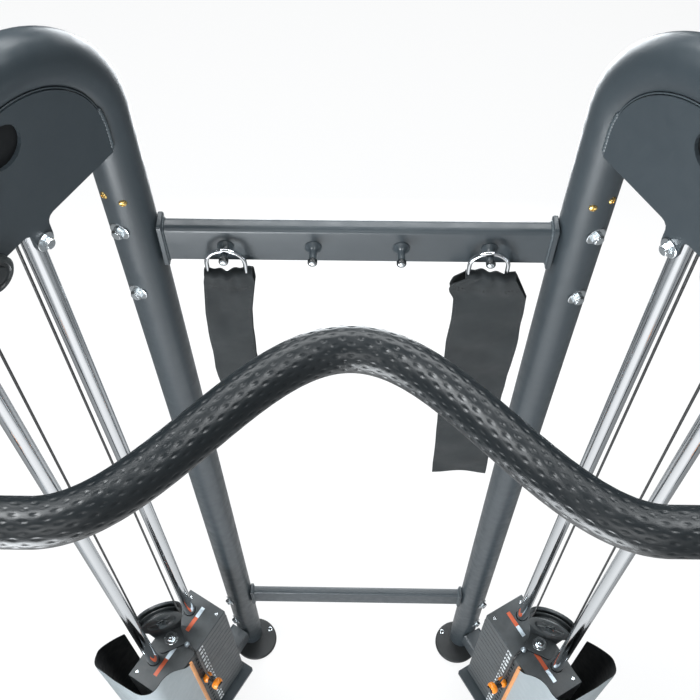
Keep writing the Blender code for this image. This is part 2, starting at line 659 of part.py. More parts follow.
def shroud_path():
    """Plan of the sheet, from its inner rear edge round the front to its outer rear edge."""
    rear, front = SHROUD_RUN
    outer, inner = SHROUD_ACROSS
    corner = front - SHROUD_CORNER
    return [(rear, inner), (0.290, inner),
            *arc(corner, inner - SHROUD_CORNER, SHROUD_CORNER, 90, 0, 6),
            (front + 0.002, -0.013),
            *arc(corner, outer + SHROUD_CORNER, SHROUD_CORNER, 0, -90, 6),
            (0.300, outer), (0.268, outer)]


def rim(share):
    """Height of the wavy upper edge, share from 0 at the inner rear edge to 1 at the outer."""
    start_dip = 0.085 * math.exp(-(share / 0.09) ** 2)
    crest = 0.018 * math.exp(-((share - 0.20) / 0.07) ** 2)
    fall = min(max((share - 0.62) / 0.18, 0.0), 1.0)
    shoulder = 0.045 * fall * fall * (3 - 2 * fall)
    end_dip = 0.073 * max((share - 0.8) / 0.2, 0.0) ** 1.4
    return 0.690 - start_dip + crest - shoulder - end_dip


def even_points(path, steps):
    """Points at equal distances along a plane path."""
    length = [0.0]
    for near, far in zip(path, path[1:]):
        length.append(length[-1] + math.dist(near, far))
    points = []
    for i in range(steps + 1):
        want = length[-1] * i / steps
        k = max(j for j in range(len(length)) if length[j] <= want + 1e-12)
        k = min(k, len(path) - 2)
        share = (want - length[k]) / (length[k + 1] - length[k])
        points.append(tuple(near + share * (far - near)
                            for near, far in zip(path[k], path[k + 1])))
    return points


def shroud():
    """Curved upright sheet in front of the stack."""
    points = even_points(shroud_path(), SHROUD_STEPS)
    rings = []
    for i, (run, across) in enumerate(points):
        before, after = points[max(i - 1, 0)], points[min(i + 1, SHROUD_STEPS)]
        tangent = Vector((after[0] - before[0], after[1] - before[1], 0)).normalized()
        offset = Vector((-tangent.y, tangent.x, 0)) * SHROUD_HALF_THICK
        left = (run + offset.x, across + offset.y)
        right = (run - offset.x, across - offset.y)
        top = rim(i / SHROUD_STEPS)
        rings.append([(*left, SHROUD_LOW), (*left, top), (*right, top), (*right, SHROUD_LOW)])
    return skin(rings)


both("shroud", "shroud", shroud)

# ---- cables from the floating pulley to the top pulleys ------------------------------
CABLE_RADIUS = 0.0028
CABLE_LOW = FLOAT_Z + 0.055
CABLE_TOP = 1.975


def stack_cable(reach, top_run, top_across):
    """Cable from one side of the floating pulley to the rear side of a top pulley."""
    angle = math.radians(FLOAT_TURN)
    low_end = (STEM_RUN + reach * math.cos(angle), reach * math.sin(angle), CABLE_LOW)
    top_end = (top_run - CABLE_REACH, top_across, CABLE_TOP)
    return cylinder(low_end, top_end, CABLE_RADIUS, 8)


both("stack_cable_rear", "cable",
     lambda: stack_cable(-CABLE_REACH, TOP_PULLEY_RUNS[0], -PULLEY_ACROSS))
both("stack_cable_front", "cable",
     lambda: stack_cable(CABLE_REACH, TOP_PULLEY_RUNS[1], PULLEY_ACROSS))

# ---- hanging straps ------------------------------------------------------------------
STRAP_Y = CROSSBAR_FRONT - 0.016
RING_WIRE_RADIUS = 0.0032
RING_HALF_WIDTH = 0.0230
RING_RISE = 0.0275         # height of the ring's round upper part
RING_TOP = TOP_BAR_Z + 0.0072
STRAP_TOP = TOP_BAR_Z - 0.0320
STRAP_HALF_THICK = 0.005


def ring(x):
    """D-ring hooked over its peg."""
    points = [(x + RING_HALF_WIDTH * math.cos(math.radians(degrees)), STRAP_Y,
               RING_TOP - 0.024 + RING_RISE * math.sin(math.radians(degrees)))
              for degrees in range(0, 181, 20)]
    flat = RING_HALF_WIDTH - 0.004
    points += [(x + across, STRAP_Y, RING_TOP - drop)
               for across, drop in ((-RING_HALF_WIDTH, 0.030), (-flat, 0.0345), (0, 0.0345),
                                    (flat, 0.0345), (RING_HALF_WIDTH, 0.030))]
    return sweep(points, RING_WIRE_RADIUS, 6, closed=True)


def strap(x, width, length):
    """Flat webbing hanging from its ring."""
    return box((x - width / 2, x + width / 2),
               (STRAP_Y - STRAP_HALF_THICK, STRAP_Y + STRAP_HALF_THICK),
               (STRAP_TOP - length, STRAP_TOP), 0.002, 1, "z")


# side, peg x, sideways offset from the peg, width, length
STRAPS = [
    ("l", PEGS_X[0], -0.004, 0.068, 0.335),
    ("r", PEGS_X[3], 0.007, 0.098, 0.600),
]
for side, peg_x, offset, width, length in STRAPS:
    peg = (peg_x, STRAP_Y, TOP_BAR_Z)
    place(ring(peg_x), f"strap_ring_{side}", "chrome", origin=peg)
    place(strap(peg_x + offset, width, length), f"strap_{side}", "webbing", origin=peg)
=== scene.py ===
# Cable machine: two splayed towers joined by two crossbars and a pull-up bar.
# Machine frame: metres, +Z up, ground near z = 0, front towards -Y, tower "l" at -X and "r" at +X.
# Tower frame: x runs along the hoop from its rear upright (x = 0) to its front one (x = SPAN),
# y runs across it, positive towards the inner side of the machine, and z is up.
import json
import math

import bmesh
import bpy
import numpy as np
from mathutils import Matrix, Vector


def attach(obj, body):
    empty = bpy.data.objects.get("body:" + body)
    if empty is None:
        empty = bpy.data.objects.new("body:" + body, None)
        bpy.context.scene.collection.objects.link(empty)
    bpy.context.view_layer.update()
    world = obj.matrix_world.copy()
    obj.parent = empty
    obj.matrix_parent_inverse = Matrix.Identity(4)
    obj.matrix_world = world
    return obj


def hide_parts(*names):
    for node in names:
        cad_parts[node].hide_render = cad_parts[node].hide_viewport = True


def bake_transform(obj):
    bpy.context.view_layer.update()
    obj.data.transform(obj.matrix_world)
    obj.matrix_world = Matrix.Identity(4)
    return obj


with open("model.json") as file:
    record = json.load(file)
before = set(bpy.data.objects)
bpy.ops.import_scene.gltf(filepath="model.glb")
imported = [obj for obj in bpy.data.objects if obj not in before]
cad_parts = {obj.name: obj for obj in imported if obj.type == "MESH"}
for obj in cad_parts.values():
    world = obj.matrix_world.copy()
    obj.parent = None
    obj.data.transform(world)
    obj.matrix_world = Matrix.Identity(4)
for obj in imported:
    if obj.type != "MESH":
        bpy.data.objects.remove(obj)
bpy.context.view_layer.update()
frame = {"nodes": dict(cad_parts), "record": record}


# ---- main dimensions -------------------------------------------------------------------
# The rear uprights in the machine frame, and how far the towers turn outwards.
UPRIGHT_X, UPRIGHT_Y = 0.292, 0.3343
SPLAY_SIN, SPLAY_COS = math.sin(math.radians(31.0)), math.cos(math.radians(31.0))
OUTWARD = {"l": -1.0, "r": 1.0}

# Everything down to the index pitch is in the tower frame.
SPAN, TUBE_R, HOOP_TOP = 0.780, 0.0315, 2.121
REAR_BEND_R, FRONT_BEND_R = 0.150, 0.100
FOOT_Y = 0.0215
PLATE_Y, PLATE_THICK, PLATE_LOW = 0.027, 0.005, 1.938     # gusset plates: outer face, low edge
BASE_Z = 0.098
ROD_R, ROD_TOP = 0.0125, 1.9145
ROD_X = {"rear": 0.151, "front": 0.281}

PULLEY_R, PULLEY_WIDTH, PULLEY_Y, GROOVE_R = 0.045, 0.0145, 0.0077, 0.040
CABLE_R, CABLE_SIDES = 0.0020, 14
COLUMN_X, COLUMN_R = 0.590, 0.0254
CARRIAGE_Z, SLEEVE_R = 1.155, 0.036
SWIVEL_X = COLUMN_X + SLEEVE_R + 0.022
SHEAVE_R, SHEAVE_X = 0.038, SWIVEL_X + 0.033
TOP_REAR_X, TOP_FRONT_X, TOP_Z = 0.206, 0.288, 2.005
COLUMN_REAR_X, COLUMN_FRONT_X = SWIVEL_X - GROOVE_R, SWIVEL_X + GROOVE_R
LOW_Z = 0.190
FLOAT_Z, FLOAT_TURN = 0.710, -34.0

STEM_X, STACK_TOP, STACK_Y = 0.2235, 0.587, 0.0685        # stack's centre, top and inner face
WEIGHT_PITCH = 0.0262
LIFTED_COUNT, REST_COUNT = 6, 10
LIFTED_TOP = STACK_TOP - 0.0255
REST_TOP = LIFTED_TOP - LIFTED_COUNT * WEIGHT_PITCH
PIN_Z = REST_TOP + 0.5 * WEIGHT_PITCH

# Pull-up bar and crossbars, in the machine frame.
BAR_R, GRIP_R, BAR_Z, BAR_Y = 0.0160, 0.0190, 2.121, -0.2325
BAR_SETBACK, BAR_BEND_X = 0.150, 0.228                    # the bar's middle curves to the rear
BAR_END_X = UPRIGHT_X + (UPRIGHT_Y - BAR_Y) / SPLAY_COS * SPLAY_SIN - 0.022
CROSSBAR_END_X = UPRIGHT_X - TUBE_R - 0.0005
CROSSBAR_Y = UPRIGHT_Y - 0.016                            # front face
TOP_BAR_Z = 1.745
# name, centre height, half height, depth, corner radius
CROSSBARS = (("top", TOP_BAR_Z, 0.034, 0.022, 0.0075), ("bottom", 0.345, 0.032, 0.020, 0.0060))
PEG_X = (-0.174, -0.058, 0.058, 0.174)

UP, ACROSS = (0, 0, 1), (0, 1, 0)


# ---- shader tools ----------------------------------------------------------------------
def set_inputs(tree, node, inputs):
    """Each input takes a plain value or another node's output."""
    for key, value in inputs.items():
        if isinstance(value, bpy.types.NodeSocket):
            tree.links.new(value, node.inputs[key])
        else:
            node.inputs[key].default_value = value


def add_node(tree, kind, inputs=None, **settings):
    node = tree.nodes.new("ShaderNode" + kind)
    for key, value in settings.items():
        setattr(node, key, value)
    set_inputs(tree, node, inputs or {})
    return node


def calculate(tree, operation, *values):
    return add_node(tree, "Math", dict(enumerate(values)), operation=operation).outputs[0]


def remap(tree, value, source, target, **settings):
    inputs = {"Value": value, "From Min": source[0], "From Max": source[1],
              "To Min": target[0], "To Max": target[1]}
    return add_node(tree, "MapRange", inputs, **settings).outputs["Result"]


def blend_values(tree, factor, first, second, data_type):
    inputs = {"Factor": factor, "A": first, "B": second}
    return add_node(tree, "Mix", inputs, data_type=data_type).outputs["Result"]


def camera_switch(tree, lighting, seen):
    """One strength for lighting the scene and another for what the camera sees."""
    ray = add_node(tree, "LightPath")
    return blend_values(tree, ray.outputs["Is Camera Ray"], lighting, seen, "FLOAT")


# ---- materials -------------------------------------------------------------------------
def surface(name, colour, rough, metal=0.0, grain=700.0, bump=0.12, depth=0.0003, blotch=0.10,
            rough_var=0.08, spec=0.5, coat=0.0, fleck=0.0, stretch=None, wear=None):
    """Procedural surface.

    grain: scale of the fine noise; bump, depth: strength and distance of its relief
    blotch: slow drift of the colour; fleck: amount of paler specks
    rough_var: spread of the roughness; stretch: scaling of the noise space
    wear: colour on raised edges
    """
    material = bpy.data.materials.new(name)
    material.use_nodes = True
    tree = material.node_tree
    space = add_node(tree, "TexCoord").outputs["Object"]
    if stretch:
        space = add_node(tree, "Mapping", {"Vector": space, "Scale": stretch}).outputs["Vector"]

    def noise(scale, detail):
        inputs = {"Vector": space, "Scale": scale, "Detail": detail}
        return add_node(tree, "TexNoise", inputs).outputs["Fac"]

    fine, middle, wide = noise(grain, 3), noise(60.0, 5), noise(7.0, 4)
    ramp = add_node(tree, "ValToRGB", {"Fac": wide})
    dark, light = ramp.color_ramp.elements
    dark.position, light.position = 0.30, 0.70
    dark.color = (*[value * (1 - blotch) for value in colour], 1)
    light.color = (*[min(value * (1 + blotch), 1) for value in colour], 1)
    shade = ramp.outputs["Color"]
    if fleck:
        amount = remap(tree, fine, (0.56, 0.72), (0.0, fleck))
        pale = (*[min(value * 2.2 + 0.02, 1) for value in colour], 1)
        shade = blend_values(tree, amount, shade, pale, "RGBA")
    if wear:
        raised = add_node(tree, "NewGeometry").outputs["Pointiness"]
        amount = calculate(tree, "MULTIPLY", remap(tree, raised, (0.52, 0.60), (0.0, 1.0)), middle)
        shade = blend_values(tree, amount, shade, (*wear, 1), "RGBA")
    rough_range = (max(rough - rough_var, 0.02), rough + rough_var)
    relief = add_node(tree, "Bump", {"Strength": bump, "Distance": depth, "Height": fine})
    set_inputs(tree, tree.nodes["Principled BSDF"], {
        "Metallic": metal,
        "Specular IOR Level": spec,
        "Coat Weight": coat,
        "Coat Roughness": 0.25,
        "Base Color": shade,
        "Roughness": remap(tree, middle, (0.3, 0.7), rough_range),
        "Normal": relief.outputs["Normal"],
    })
    return material


def woven(name, pitch, **look):
    """Plain weave: two crossed sets of bands under the fine grain, with a light sheen."""
    material = surface(name, **look)
    tree = material.node_tree
    grain_relief = tree.nodes["Bump"]
    space = tree.nodes["Texture Coordinate"].outputs["Object"]
    wave = {"Vector": space, "Scale": 1.0 / (pitch * 3.2), "Distortion": 0.4}
    bands = [add_node(tree, "TexWave", wave, bands_direction=axis).outputs["Fac"] for axis in "XZ"]
    threads = calculate(tree, "MULTIPLY", *bands)
    relief = add_node(tree, "Bump", {"Strength": 0.55, "Distance": 0.0005, "Height": threads})
    set_inputs(tree, grain_relief, {"Normal": relief.outputs["Normal"]})
    sheen = {"Sheen Weight": 0.12, "Sheen Roughness": 0.5}
    set_inputs(tree, tree.nodes["Principled BSDF"], sheen)
    return material


LOOKS = {
    "frame": dict(colour=(0.038, 0.049, 0.057), rough=0.36, grain=900, bump=0.16, depth=0.00035,
                  fleck=0.10, blotch=0.05, spec=0.55),
    "chrome": dict(colour=(0.76, 0.79, 0.82), rough=0.09, metal=1.0, grain=500, bump=0.02,
                   depth=0.0001, rough_var=0.03, blotch=0.02, stretch=(1, 1, 0.12)),
    "iron": dict(colour=(0.020, 0.024, 0.026), rough=0.46, grain=650, bump=0.30, depth=0.0004,
                 fleck=0.25, blotch=0.12, wear=(0.075, 0.088, 0.095)),
    "rubber": dict(colour=(0.008, 0.011, 0.013), rough=0.33, grain=1300, bump=0.40, depth=0.0002,
                   blotch=0.10, spec=0.48, fleck=0.04, rough_var=0.05),
    "foot": dict(colour=(0.012, 0.014, 0.015), rough=0.55, grain=800, bump=0.2, blotch=0.1),
    "nylon": dict(colour=(0.022, 0.026, 0.028), rough=0.42, grain=500, bump=0.10, blotch=0.08,
                  wear=(0.09, 0.10, 0.10)),
    "shroud": dict(colour=(0.300, 0.345, 0.365), rough=0.46, grain=1000, bump=0.22, fleck=0.12,
                   blotch=0.04),
    "inside": dict(colour=(0.006, 0.007, 0.008), rough=0.62, grain=600, bump=0.15, blotch=0.10,
                   spec=0.3),
    "orange": dict(colour=(1.00, 0.29, 0.015), rough=0.36, grain=500, bump=0.08, blotch=0.08,
                   coat=0.3),
    "edge": dict(colour=(0.62, 0.27, 0.10), rough=0.55, grain=450, bump=0.35, fleck=0.45,
                 blotch=0.15),
    "decal": dict(colour=(0.60, 0.10, 0.03), rough=0.42, grain=900, bump=0.06, blotch=0.15,
                  fleck=0.15),
    "silver": dict(colour=(0.52, 0.60, 0.66), rough=0.35, metal=0.6, grain=900, bump=0.15,
                   blotch=0.15, fleck=0.3),
    "zinc": dict(colour=(0.74, 0.79, 0.82), rough=0.22, metal=1.0, grain=500, bump=0.12,
                 blotch=0.10, rough_var=0.08),
    "brass": dict(colour=(0.80, 0.56, 0.20), rough=0.24, metal=1.0, grain=500, bump=0.12,
                  blotch=0.25),
    "cable": dict(colour=(0.010, 0.011, 0.012), rough=0.30, grain=800, bump=0.10, blotch=0.1,
                  spec=0.6),
    "label": dict(colour=(0.72, 0.76, 0.78), rough=0.45, grain=800, bump=0.05, blotch=0.05),
    "weld": dict(colour=(0.060, 0.076, 0.086), rough=0.38, grain=450, bump=0.35, blotch=0.10),
}
MATERIALS = {key: surface(f"look_{key}", **look) for key, look in LOOKS.items()}
MATERIALS["webbing"] = woven("look_webbing", pitch=0.0011, colour=(0.015, 0.019, 0.021), rough=0.72,
                             grain=1500, bump=0.25, depth=0.0002, blotch=0.22, spec=0.25)

for subpart in frame["record"]["subparts"]:
    slots = frame["nodes"][subpart["node"]].data.materials
    slots.clear()
    slots.append(MATERIALS[subpart["material_slot"]])


# ---- mesh tools: each shape is (points, faces) -----------------------------------------
def ring_faces(count, sides, closed=False):
    """Faces between successive rings of points; an open run gets a cap at each end."""
    faces = []
    for i in range(count if closed else count - 1):
        near, far = i * sides, ((i + 1) % count) * sides
        faces += [(near + k, near + (k + 1) % sides, far + (k + 1) % sides, far + k)
                  for k in range(sides)]
    if not closed:
        faces += [tuple(range(sides))[::-1], tuple(range((count - 1) * sides, count * sides))]
    return faces


def sheet_faces(rows, cols):
    """Two grids, one after the other, joined around their border. The first grid comes first."""
    size = rows * cols
    faces = []
    for start in (0, size):
        for j in range(rows - 1):
            for i in range(cols - 1):
                k = start + j * cols + i
                faces.append((k, k + 1, k + cols + 1, k + cols))
    for i in range(cols - 1):
        for k in (i, (rows - 1) * cols + i):
            faces.append((k, k + 1, size + k + 1, size + k))
    for j in range(rows - 1):
        for k in (j * cols, (j + 1) * cols - 1):
            faces.append((k, k + cols, size + k + cols, size + k))
    return faces


def tangents(points):
    steps = np.gradient(points, axis=0)
    return steps / np.linalg.norm(steps, axis=1)[:, None]


def tube(path, radius, sides, closed=False, up=None):
    """Round bar along a path; radius is one number or one for each point."""
    path = np.array(path, float)
    count = len(path)
    radii = np.broadcast_to(np.asarray(radius, float), (count,))
    if closed:
        heading = np.roll(path, -1, 0) - np.roll(path, 1, 0)
        heading /= np.linalg.norm(heading, axis=1)[:, None]
    else:
        heading = tangents(path)
    if up is None:
        up = UP if abs(heading[0][2]) < 0.9 else ACROSS
    first = np.array(up, float)
    angles = np.linspace(0, 2 * np.pi, sides, endpoint=False)[:, None]
    rings = []
    for i in range(count):
        first = first - heading[i] * (first @ heading[i])
        first /= np.linalg.norm(first)
        second = np.cross(heading[i], first)
        rings.append(path[i] + radii[i] * (np.cos(angles) * first + np.sin(angles) * second))
    return np.vstack(rings), ring_faces(count, sides, closed)


def turn(profile, centre, axis, steps):
    """Turned piece from (radius, distance along the axis) points; radius 0 closes an end."""
    axis = np.array(axis, float)
    axis /= np.linalg.norm(axis)
    first = np.array((1, 0, 0) if abs(axis[0]) < 0.8 else UP, float)
    first -= axis * (first @ axis)
    first /= np.linalg.norm(first)
    second = np.cross(axis, first)
    centre = np.array(centre, float)
    angles = [2 * math.pi * k / steps for k in range(steps)]
    points, rings = [], []
    for radius, distance in profile:
        middle = centre + axis * distance
        start = len(points)
        if radius < 1e-7:
            points.append(middle)
        else:
            points += [middle + radius * (math.cos(angle) * first + math.sin(angle) * second)
                       for angle in angles]
        rings.append(range(start, len(points)))
    pairs = list(zip(rings, rings[1:]))
    if len(rings[0]) > 1 and len(rings[-1]) > 1:
        pairs.append((rings[-1], rings[0]))
    faces = []
    for near, far in pairs:
        for k in range(steps):
            corners = [near[k % len(near)], near[(k + 1) % len(near)],
                       far[(k + 1) % len(far)], far[k % len(far)]]
            corners = tuple(dict.fromkeys(corners))
            if len(corners) > 2:
                faces.append(corners)
    return np.array(points), faces


def mirrored(profile):
    """The lower half of a profile followed by its mirror image."""
    return profile + [(radius, -distance) for radius, distance in reversed(profile)]


def block(x_range, y_range, z_range, bevel=0.0):
    low, high = np.array((x_range, y_range, z_range)).T
    solid = bmesh.new()
    bmesh.ops.create_cube(solid, size=1.0)
    for vertex in solid.verts:
        vertex.co = Vector((low + high) / 2 + np.array(vertex.co) * (high - low))
    if bevel:
        bmesh.ops.bevel(solid, geom=list(solid.edges), offset=bevel, segments=1, profile=0.5,
                        affect="EDGES")
    solid.verts.index_update()
    points = np.array([vertex.co for vertex in solid.verts])
    faces = [tuple(vertex.index for vertex in face.verts) for face in solid.faces]
    solid.free()
    return points, faces


def hex_bolt(centre, axis, size, stud=0.0):
    """Flange washer, chamfered hexagon head with a round face and, on a nut, its stud's end."""
    base, height, radius = 0.0017, size * 0.62, size * 0.577 * 1.02
    washer = [(0, 0), (size * 0.96, 0), (size * 1.02, 0.0006), (size * 1.02, 0.0012),
              (size * 0.95, 0.0018), (0, 0.0018)]
    head = [(0, base), (radius * 0.97, base), (radius, base + 0.0005),
            (radius, base + height * 0.78), (radius * 0.86, base + height), (0, base + height)]
    face = [(0, base + height * 0.9), (radius * 0.80, base + height * 0.9),
            (radius * 0.80, base + height * 1.03), (radius * 0.74, base + height * 1.08),
            (0, base + height * 1.08)]
    parts = [turn(washer, centre, axis, 32), turn(head, centre, axis, 6),
             turn(face, centre, axis, 24)]
    if stud:
        end = [(0, base), (size * 0.30, base), (size * 0.30, base + height + stud * 0.8),
               (size * 0.22, base + height + stud), (0, base + height + stud)]
        parts.append(turn(end, centre, axis, 20))
    return parts


def bolt_pair(x, y, z, size):
    """A bolt on each face of a plate pair that lies at y and -y."""
    return [part for sign in (1, -1)
            for part in hex_bolt((x, sign * y, z), (0, sign, 0), size)]


def arc(centre_x, centre_y, radius, start, end, steps):
    """Points of an arc in a plane, angles in degrees."""
    angles = [math.radians(start + (end - start) * i / steps) for i in range(steps + 1)]
    return [(centre_x + radius * math.cos(angle), centre_y + radius * math.sin(angle))
            for angle in angles]


def run_lengths(points):
    return np.r_[0, np.cumsum(np.linalg.norm(np.diff(points, axis=0), axis=1))]


def resample(points, count):
    """Evenly spaced distances along a line, and its points there."""
    runs = run_lengths(points)
    distances = np.linspace(0, runs[-1], count)
    return distances, np.stack([np.interp(distances, runs, column) for column in points.T], 1)


def to_machine(points, side):
    """Tower frame to machine frame."""
    x, y, z = np.asarray(points, float).T
    return np.stack([OUTWARD[side] * (UPRIGHT_X + SPLAY_SIN * x - SPLAY_COS * y),
                     UPRIGHT_Y - SPLAY_COS * x - SPLAY_SIN * y, z], 1)


def make(name, parts, look, body=None, place=None, smooth=35.0, stands_for=()):
    """Join (points, faces) or (points, faces, look) parts into one object.

    body: what it rides on
    smooth: edges sharper than this many degrees stay sharp
    stands_for: the CAD nodes it replaces
    """
    points, faces, indices, looks = [], [], [], []
    start = 0
    for part_points, part_faces, *own_look in parts:
        key = own_look[0] if own_look else look
        if key not in looks:
            looks.append(key)
        points.append(place(part_points) if place else np.asarray(part_points, float))
        faces += [tuple(i + start for i in face) for face in part_faces]
        indices += [looks.index(key)] * len(part_faces)
        start += len(part_points)
    mesh = bpy.data.meshes.new(name)
    mesh.from_pydata(np.vstack(points).tolist(), [], faces)
    for key in looks:
        mesh.materials.append(MATERIALS[key])
    mesh.polygons.foreach_set("material_index", indices)
    solid = bmesh.new()
    solid.from_mesh(mesh)
    bmesh.ops.recalc_face_normals(solid, faces=solid.faces)
    solid.to_mesh(mesh)
    solid.free()
    mesh.shade_smooth()
    mesh.set_sharp_from_angle(angle=math.radians(smooth))
    item = bpy.data.objects.new(name, mesh)
    bpy.context.scene.collection.objects.link(item)
    if body:
        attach(item, body)
    if stands_for:
        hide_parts(*stands_for)
    return item


def make_tower(side, name, parts, look, body=None, smooth=35.0, replaces=None):
    """Make a piece drawn in the tower frame. All bodies but the frame exist once per side."""
    if body and body != "frame":
        body = f"{body}_{side}"
    return make(f"{name}_{side}", parts, look, body,
                place=lambda points: to_machine(points, side), smooth=smooth,
                stands_for=[f"{replaces}_{side}"] if replaces else ())


# ---- tower frame -----------------------------------------------------------------------
def hoop_line(inset, low):
    """The hoop's centre line moved inwards by inset, both ends at height low."""
    rear_z, front_z = HOOP_TOP - REAR_BEND_R, HOOP_TOP - FRONT_BEND_R
    line = [(inset, z) for z in np.linspace(low, rear_z, 40)]
    line += arc(REAR_BEND_R, rear_z, REAR_BEND_R - inset, 180, 90, 30)[1:]
    line += [(x, HOOP_TOP - inset)
             for x in np.linspace(REAR_BEND_R, SPAN - FRONT_BEND_R, 16)[1:-1]]
    line += arc(SPAN - FRONT_BEND_R, front_z, FRONT_BEND_R - inset, 90, 0, 24)
    line += [(SPAN - inset, z) for z in np.linspace(front_z, low, 40)[1:]]
    return [(x, 0.0, z) for x, z in line]


def build_hoop(side):
    hoop = tube(hoop_line(0.0, 0.0085), TUBE_R, 56, up=(1, 0, 0))
    make_tower(side, "hoop_smooth", [hoop], "frame", "frame", replaces="hoop_tube")


def build_feet(side):
    """Round pads under both uprights, each with a small zinc ring beside the tube."""
    pad = [(0, 0), (0.0540, 0), (0.0570, 0.0012), (0.0575, 0.0030), (0.0570, 0.0065),
           (0.0545, 0.0088), (0.0520, 0.0090), (0, 0.0090)]
    ring = [(0.0030, 0.0088), (0.0058, 0.0088), (0.0062, 0.0096), (0.0052, 0.0099),
            (0.0036, 0.0092)]
    parts = []
    for pad_at, ring_at in (((0.008, FOOT_Y, 0), (-0.0344, 0.0405, 0)),
                            ((SPAN - 0.008, -FOOT_Y, 0), (SPAN + 0.0344, -0.0405, 0))):
        parts.append(turn(pad, pad_at, UP, 64))
        parts.append((*turn(ring, ring_at, UP, 24), "zinc"))
    make_tower(side, "foot_pads", parts, "foot", "frame")


def build_gusset_welds(side):
    """Beads where the gusset plates meet the tube: heavy on the uprights, light elsewhere."""
    bead_y, heavy_length, heavy_r, light_r = 0.0252, 0.066, 0.0030, 0.0009
    line = np.array(hoop_line(0.0215, PLATE_LOW + 0.002))
    beads = []
    for sign in (1, -1):
        distances, path = resample(line + np.array((0, sign * bead_y, 0)), 620)
        to_end = np.minimum(distances, distances[-1] - distances)
        ripple = 1 + 0.13 * np.sin(distances / 0.0042 * 2 * np.pi / 1.3)
        radii = np.where(to_end < heavy_length, heavy_r, light_r) * ripple
        radii[:3] *= 0.5
        radii[-3:] *= 0.5
        beads.append(tube(path, radii, 10))
    make_tower(side, "weld_gusset", beads, "weld", "frame", smooth=60)


def build_bar_weld(side):
    """Saddle bead where the pull-up bar meets the hoop's inner side, in the machine frame."""
    outward = OUTWARD[side]
    heading_x, heading_y = outward * SPLAY_SIN, -SPLAY_COS
    ring, radii = [], []
    for k in range(60):
        angle = 2 * math.pi * k / 60
        y = BAR_Y + (BAR_R + 0.0006) * math.cos(angle)
        z = (BAR_R + 0.0006) * math.sin(angle)
        # level distance from the hoop's axis to its skin at this height
        reach = math.sqrt(max((TUBE_R + 0.0004) ** 2 - z * z, 0))
        x = (y - UPRIGHT_Y) * heading_x / heading_y + outward * UPRIGHT_X
        x -= outward * reach / abs(heading_y)
        ring.append((x, y, BAR_Z + z))
        radii.append(0.0024 * (1 + 0.12 * math.sin(9 * angle)))
    make(f"weld_bar_{side}", [tube(ring, radii, 10, closed=True)], "weld", "frame",
         smooth=60)


# Bolts on the rear upright: angle round the tube from +x in degrees, height, size.
# The front upright has the same, turned by half a turn.
UPRIGHT_BOLTS = ((9, 1.789, 0.0135), (9, 1.657, 0.0135), (-15, 0.336, 0.0130),
                 (-14, 0.188, 0.0130), (-33, 0.032, 0.0130))
UPRIGHT_SCREWS = ((-6, 1.8535), (38, 1.846))              # angle, height


def build_fasteners(side):
    parts = []
    for degrees, z, size in UPRIGHT_BOLTS:
        angle = math.radians(degrees)
        out_x, out_y = math.cos(angle), math.sin(angle)
        x, y = out_x * (TUBE_R - 0.0010), out_y * (TUBE_R - 0.0010)
        parts += hex_bolt((x, y, z), (out_x, out_y, 0), size)
        parts += hex_bolt((SPAN - x, -y, z), (-out_x, -out_y, 0), size)
    for x in (*ROD_X.values(), COLUMN_X):
        parts += bolt_pair(x, PLATE_Y - 0.0001, PLATE_LOW - 0.0275, 0.0122)
    for x in (TOP_REAR_X, TOP_FRONT_X, COLUMN_REAR_X, COLUMN_FRONT_X):
        parts += bolt_pair(x, PLATE_Y - 0.0001, TOP_Z, 0.0150)
        parts.append(tube([(x, -PLATE_Y, TOP_Z), (x, PLATE_Y, TOP_Z)], 0.0048, 20))
    parts += bolt_pair(COLUMN_FRONT_X, 0.0158, LOW_Z, 0.0140)
    axle = [(COLUMN_FRONT_X, -0.016, LOW_Z), (COLUMN_FRONT_X, 0.016, LOW_Z)]
    parts.append(tube(axle, 0.0048, 20))
    make_tower(side, "fasteners", parts, "zinc", "frame", smooth=25)


def build_screws(side):
    """Small brass screws with a recessed middle, on the rear upright."""
    profile = [(0, 0), (0.0052, 0), (0.0054, 0.0010), (0.0042, 0.0026), (0.0021, 0.0034),
               (0.0019, 0.0022), (0, 0.0022)]
    parts = []
    for degrees, z in UPRIGHT_SCREWS:
        out_x, out_y = math.cos(math.radians(degrees)), math.sin(math.radians(degrees))
        centre = (out_x * (TUBE_R - 0.0006), out_y * (TUBE_R - 0.0006), z)
        parts.append(turn(profile, centre, (out_x, out_y, 0), 28))
    make_tower(side, "screws", parts, "brass", "frame", smooth=30)


def build_low_bracket(side):
    """Two round-topped cheeks that hold the low pulley above the base tube."""
    outline = [(COLUMN_FRONT_X - 0.020, 0.1284), (COLUMN_FRONT_X + 0.020, 0.1284)]
    outline += arc(COLUMN_FRONT_X, LOW_Z, 0.0150, -10, 190, 16)
    cheeks = [(np.array([(x, y, z) for y in faces_y for x, z in outline]),
               ring_faces(2, len(outline)))
              for faces_y in ((-0.0158, -0.0118), (0.0118, 0.0158))]
    make_tower(side, "low_bracket", cheeks, "frame", "frame")


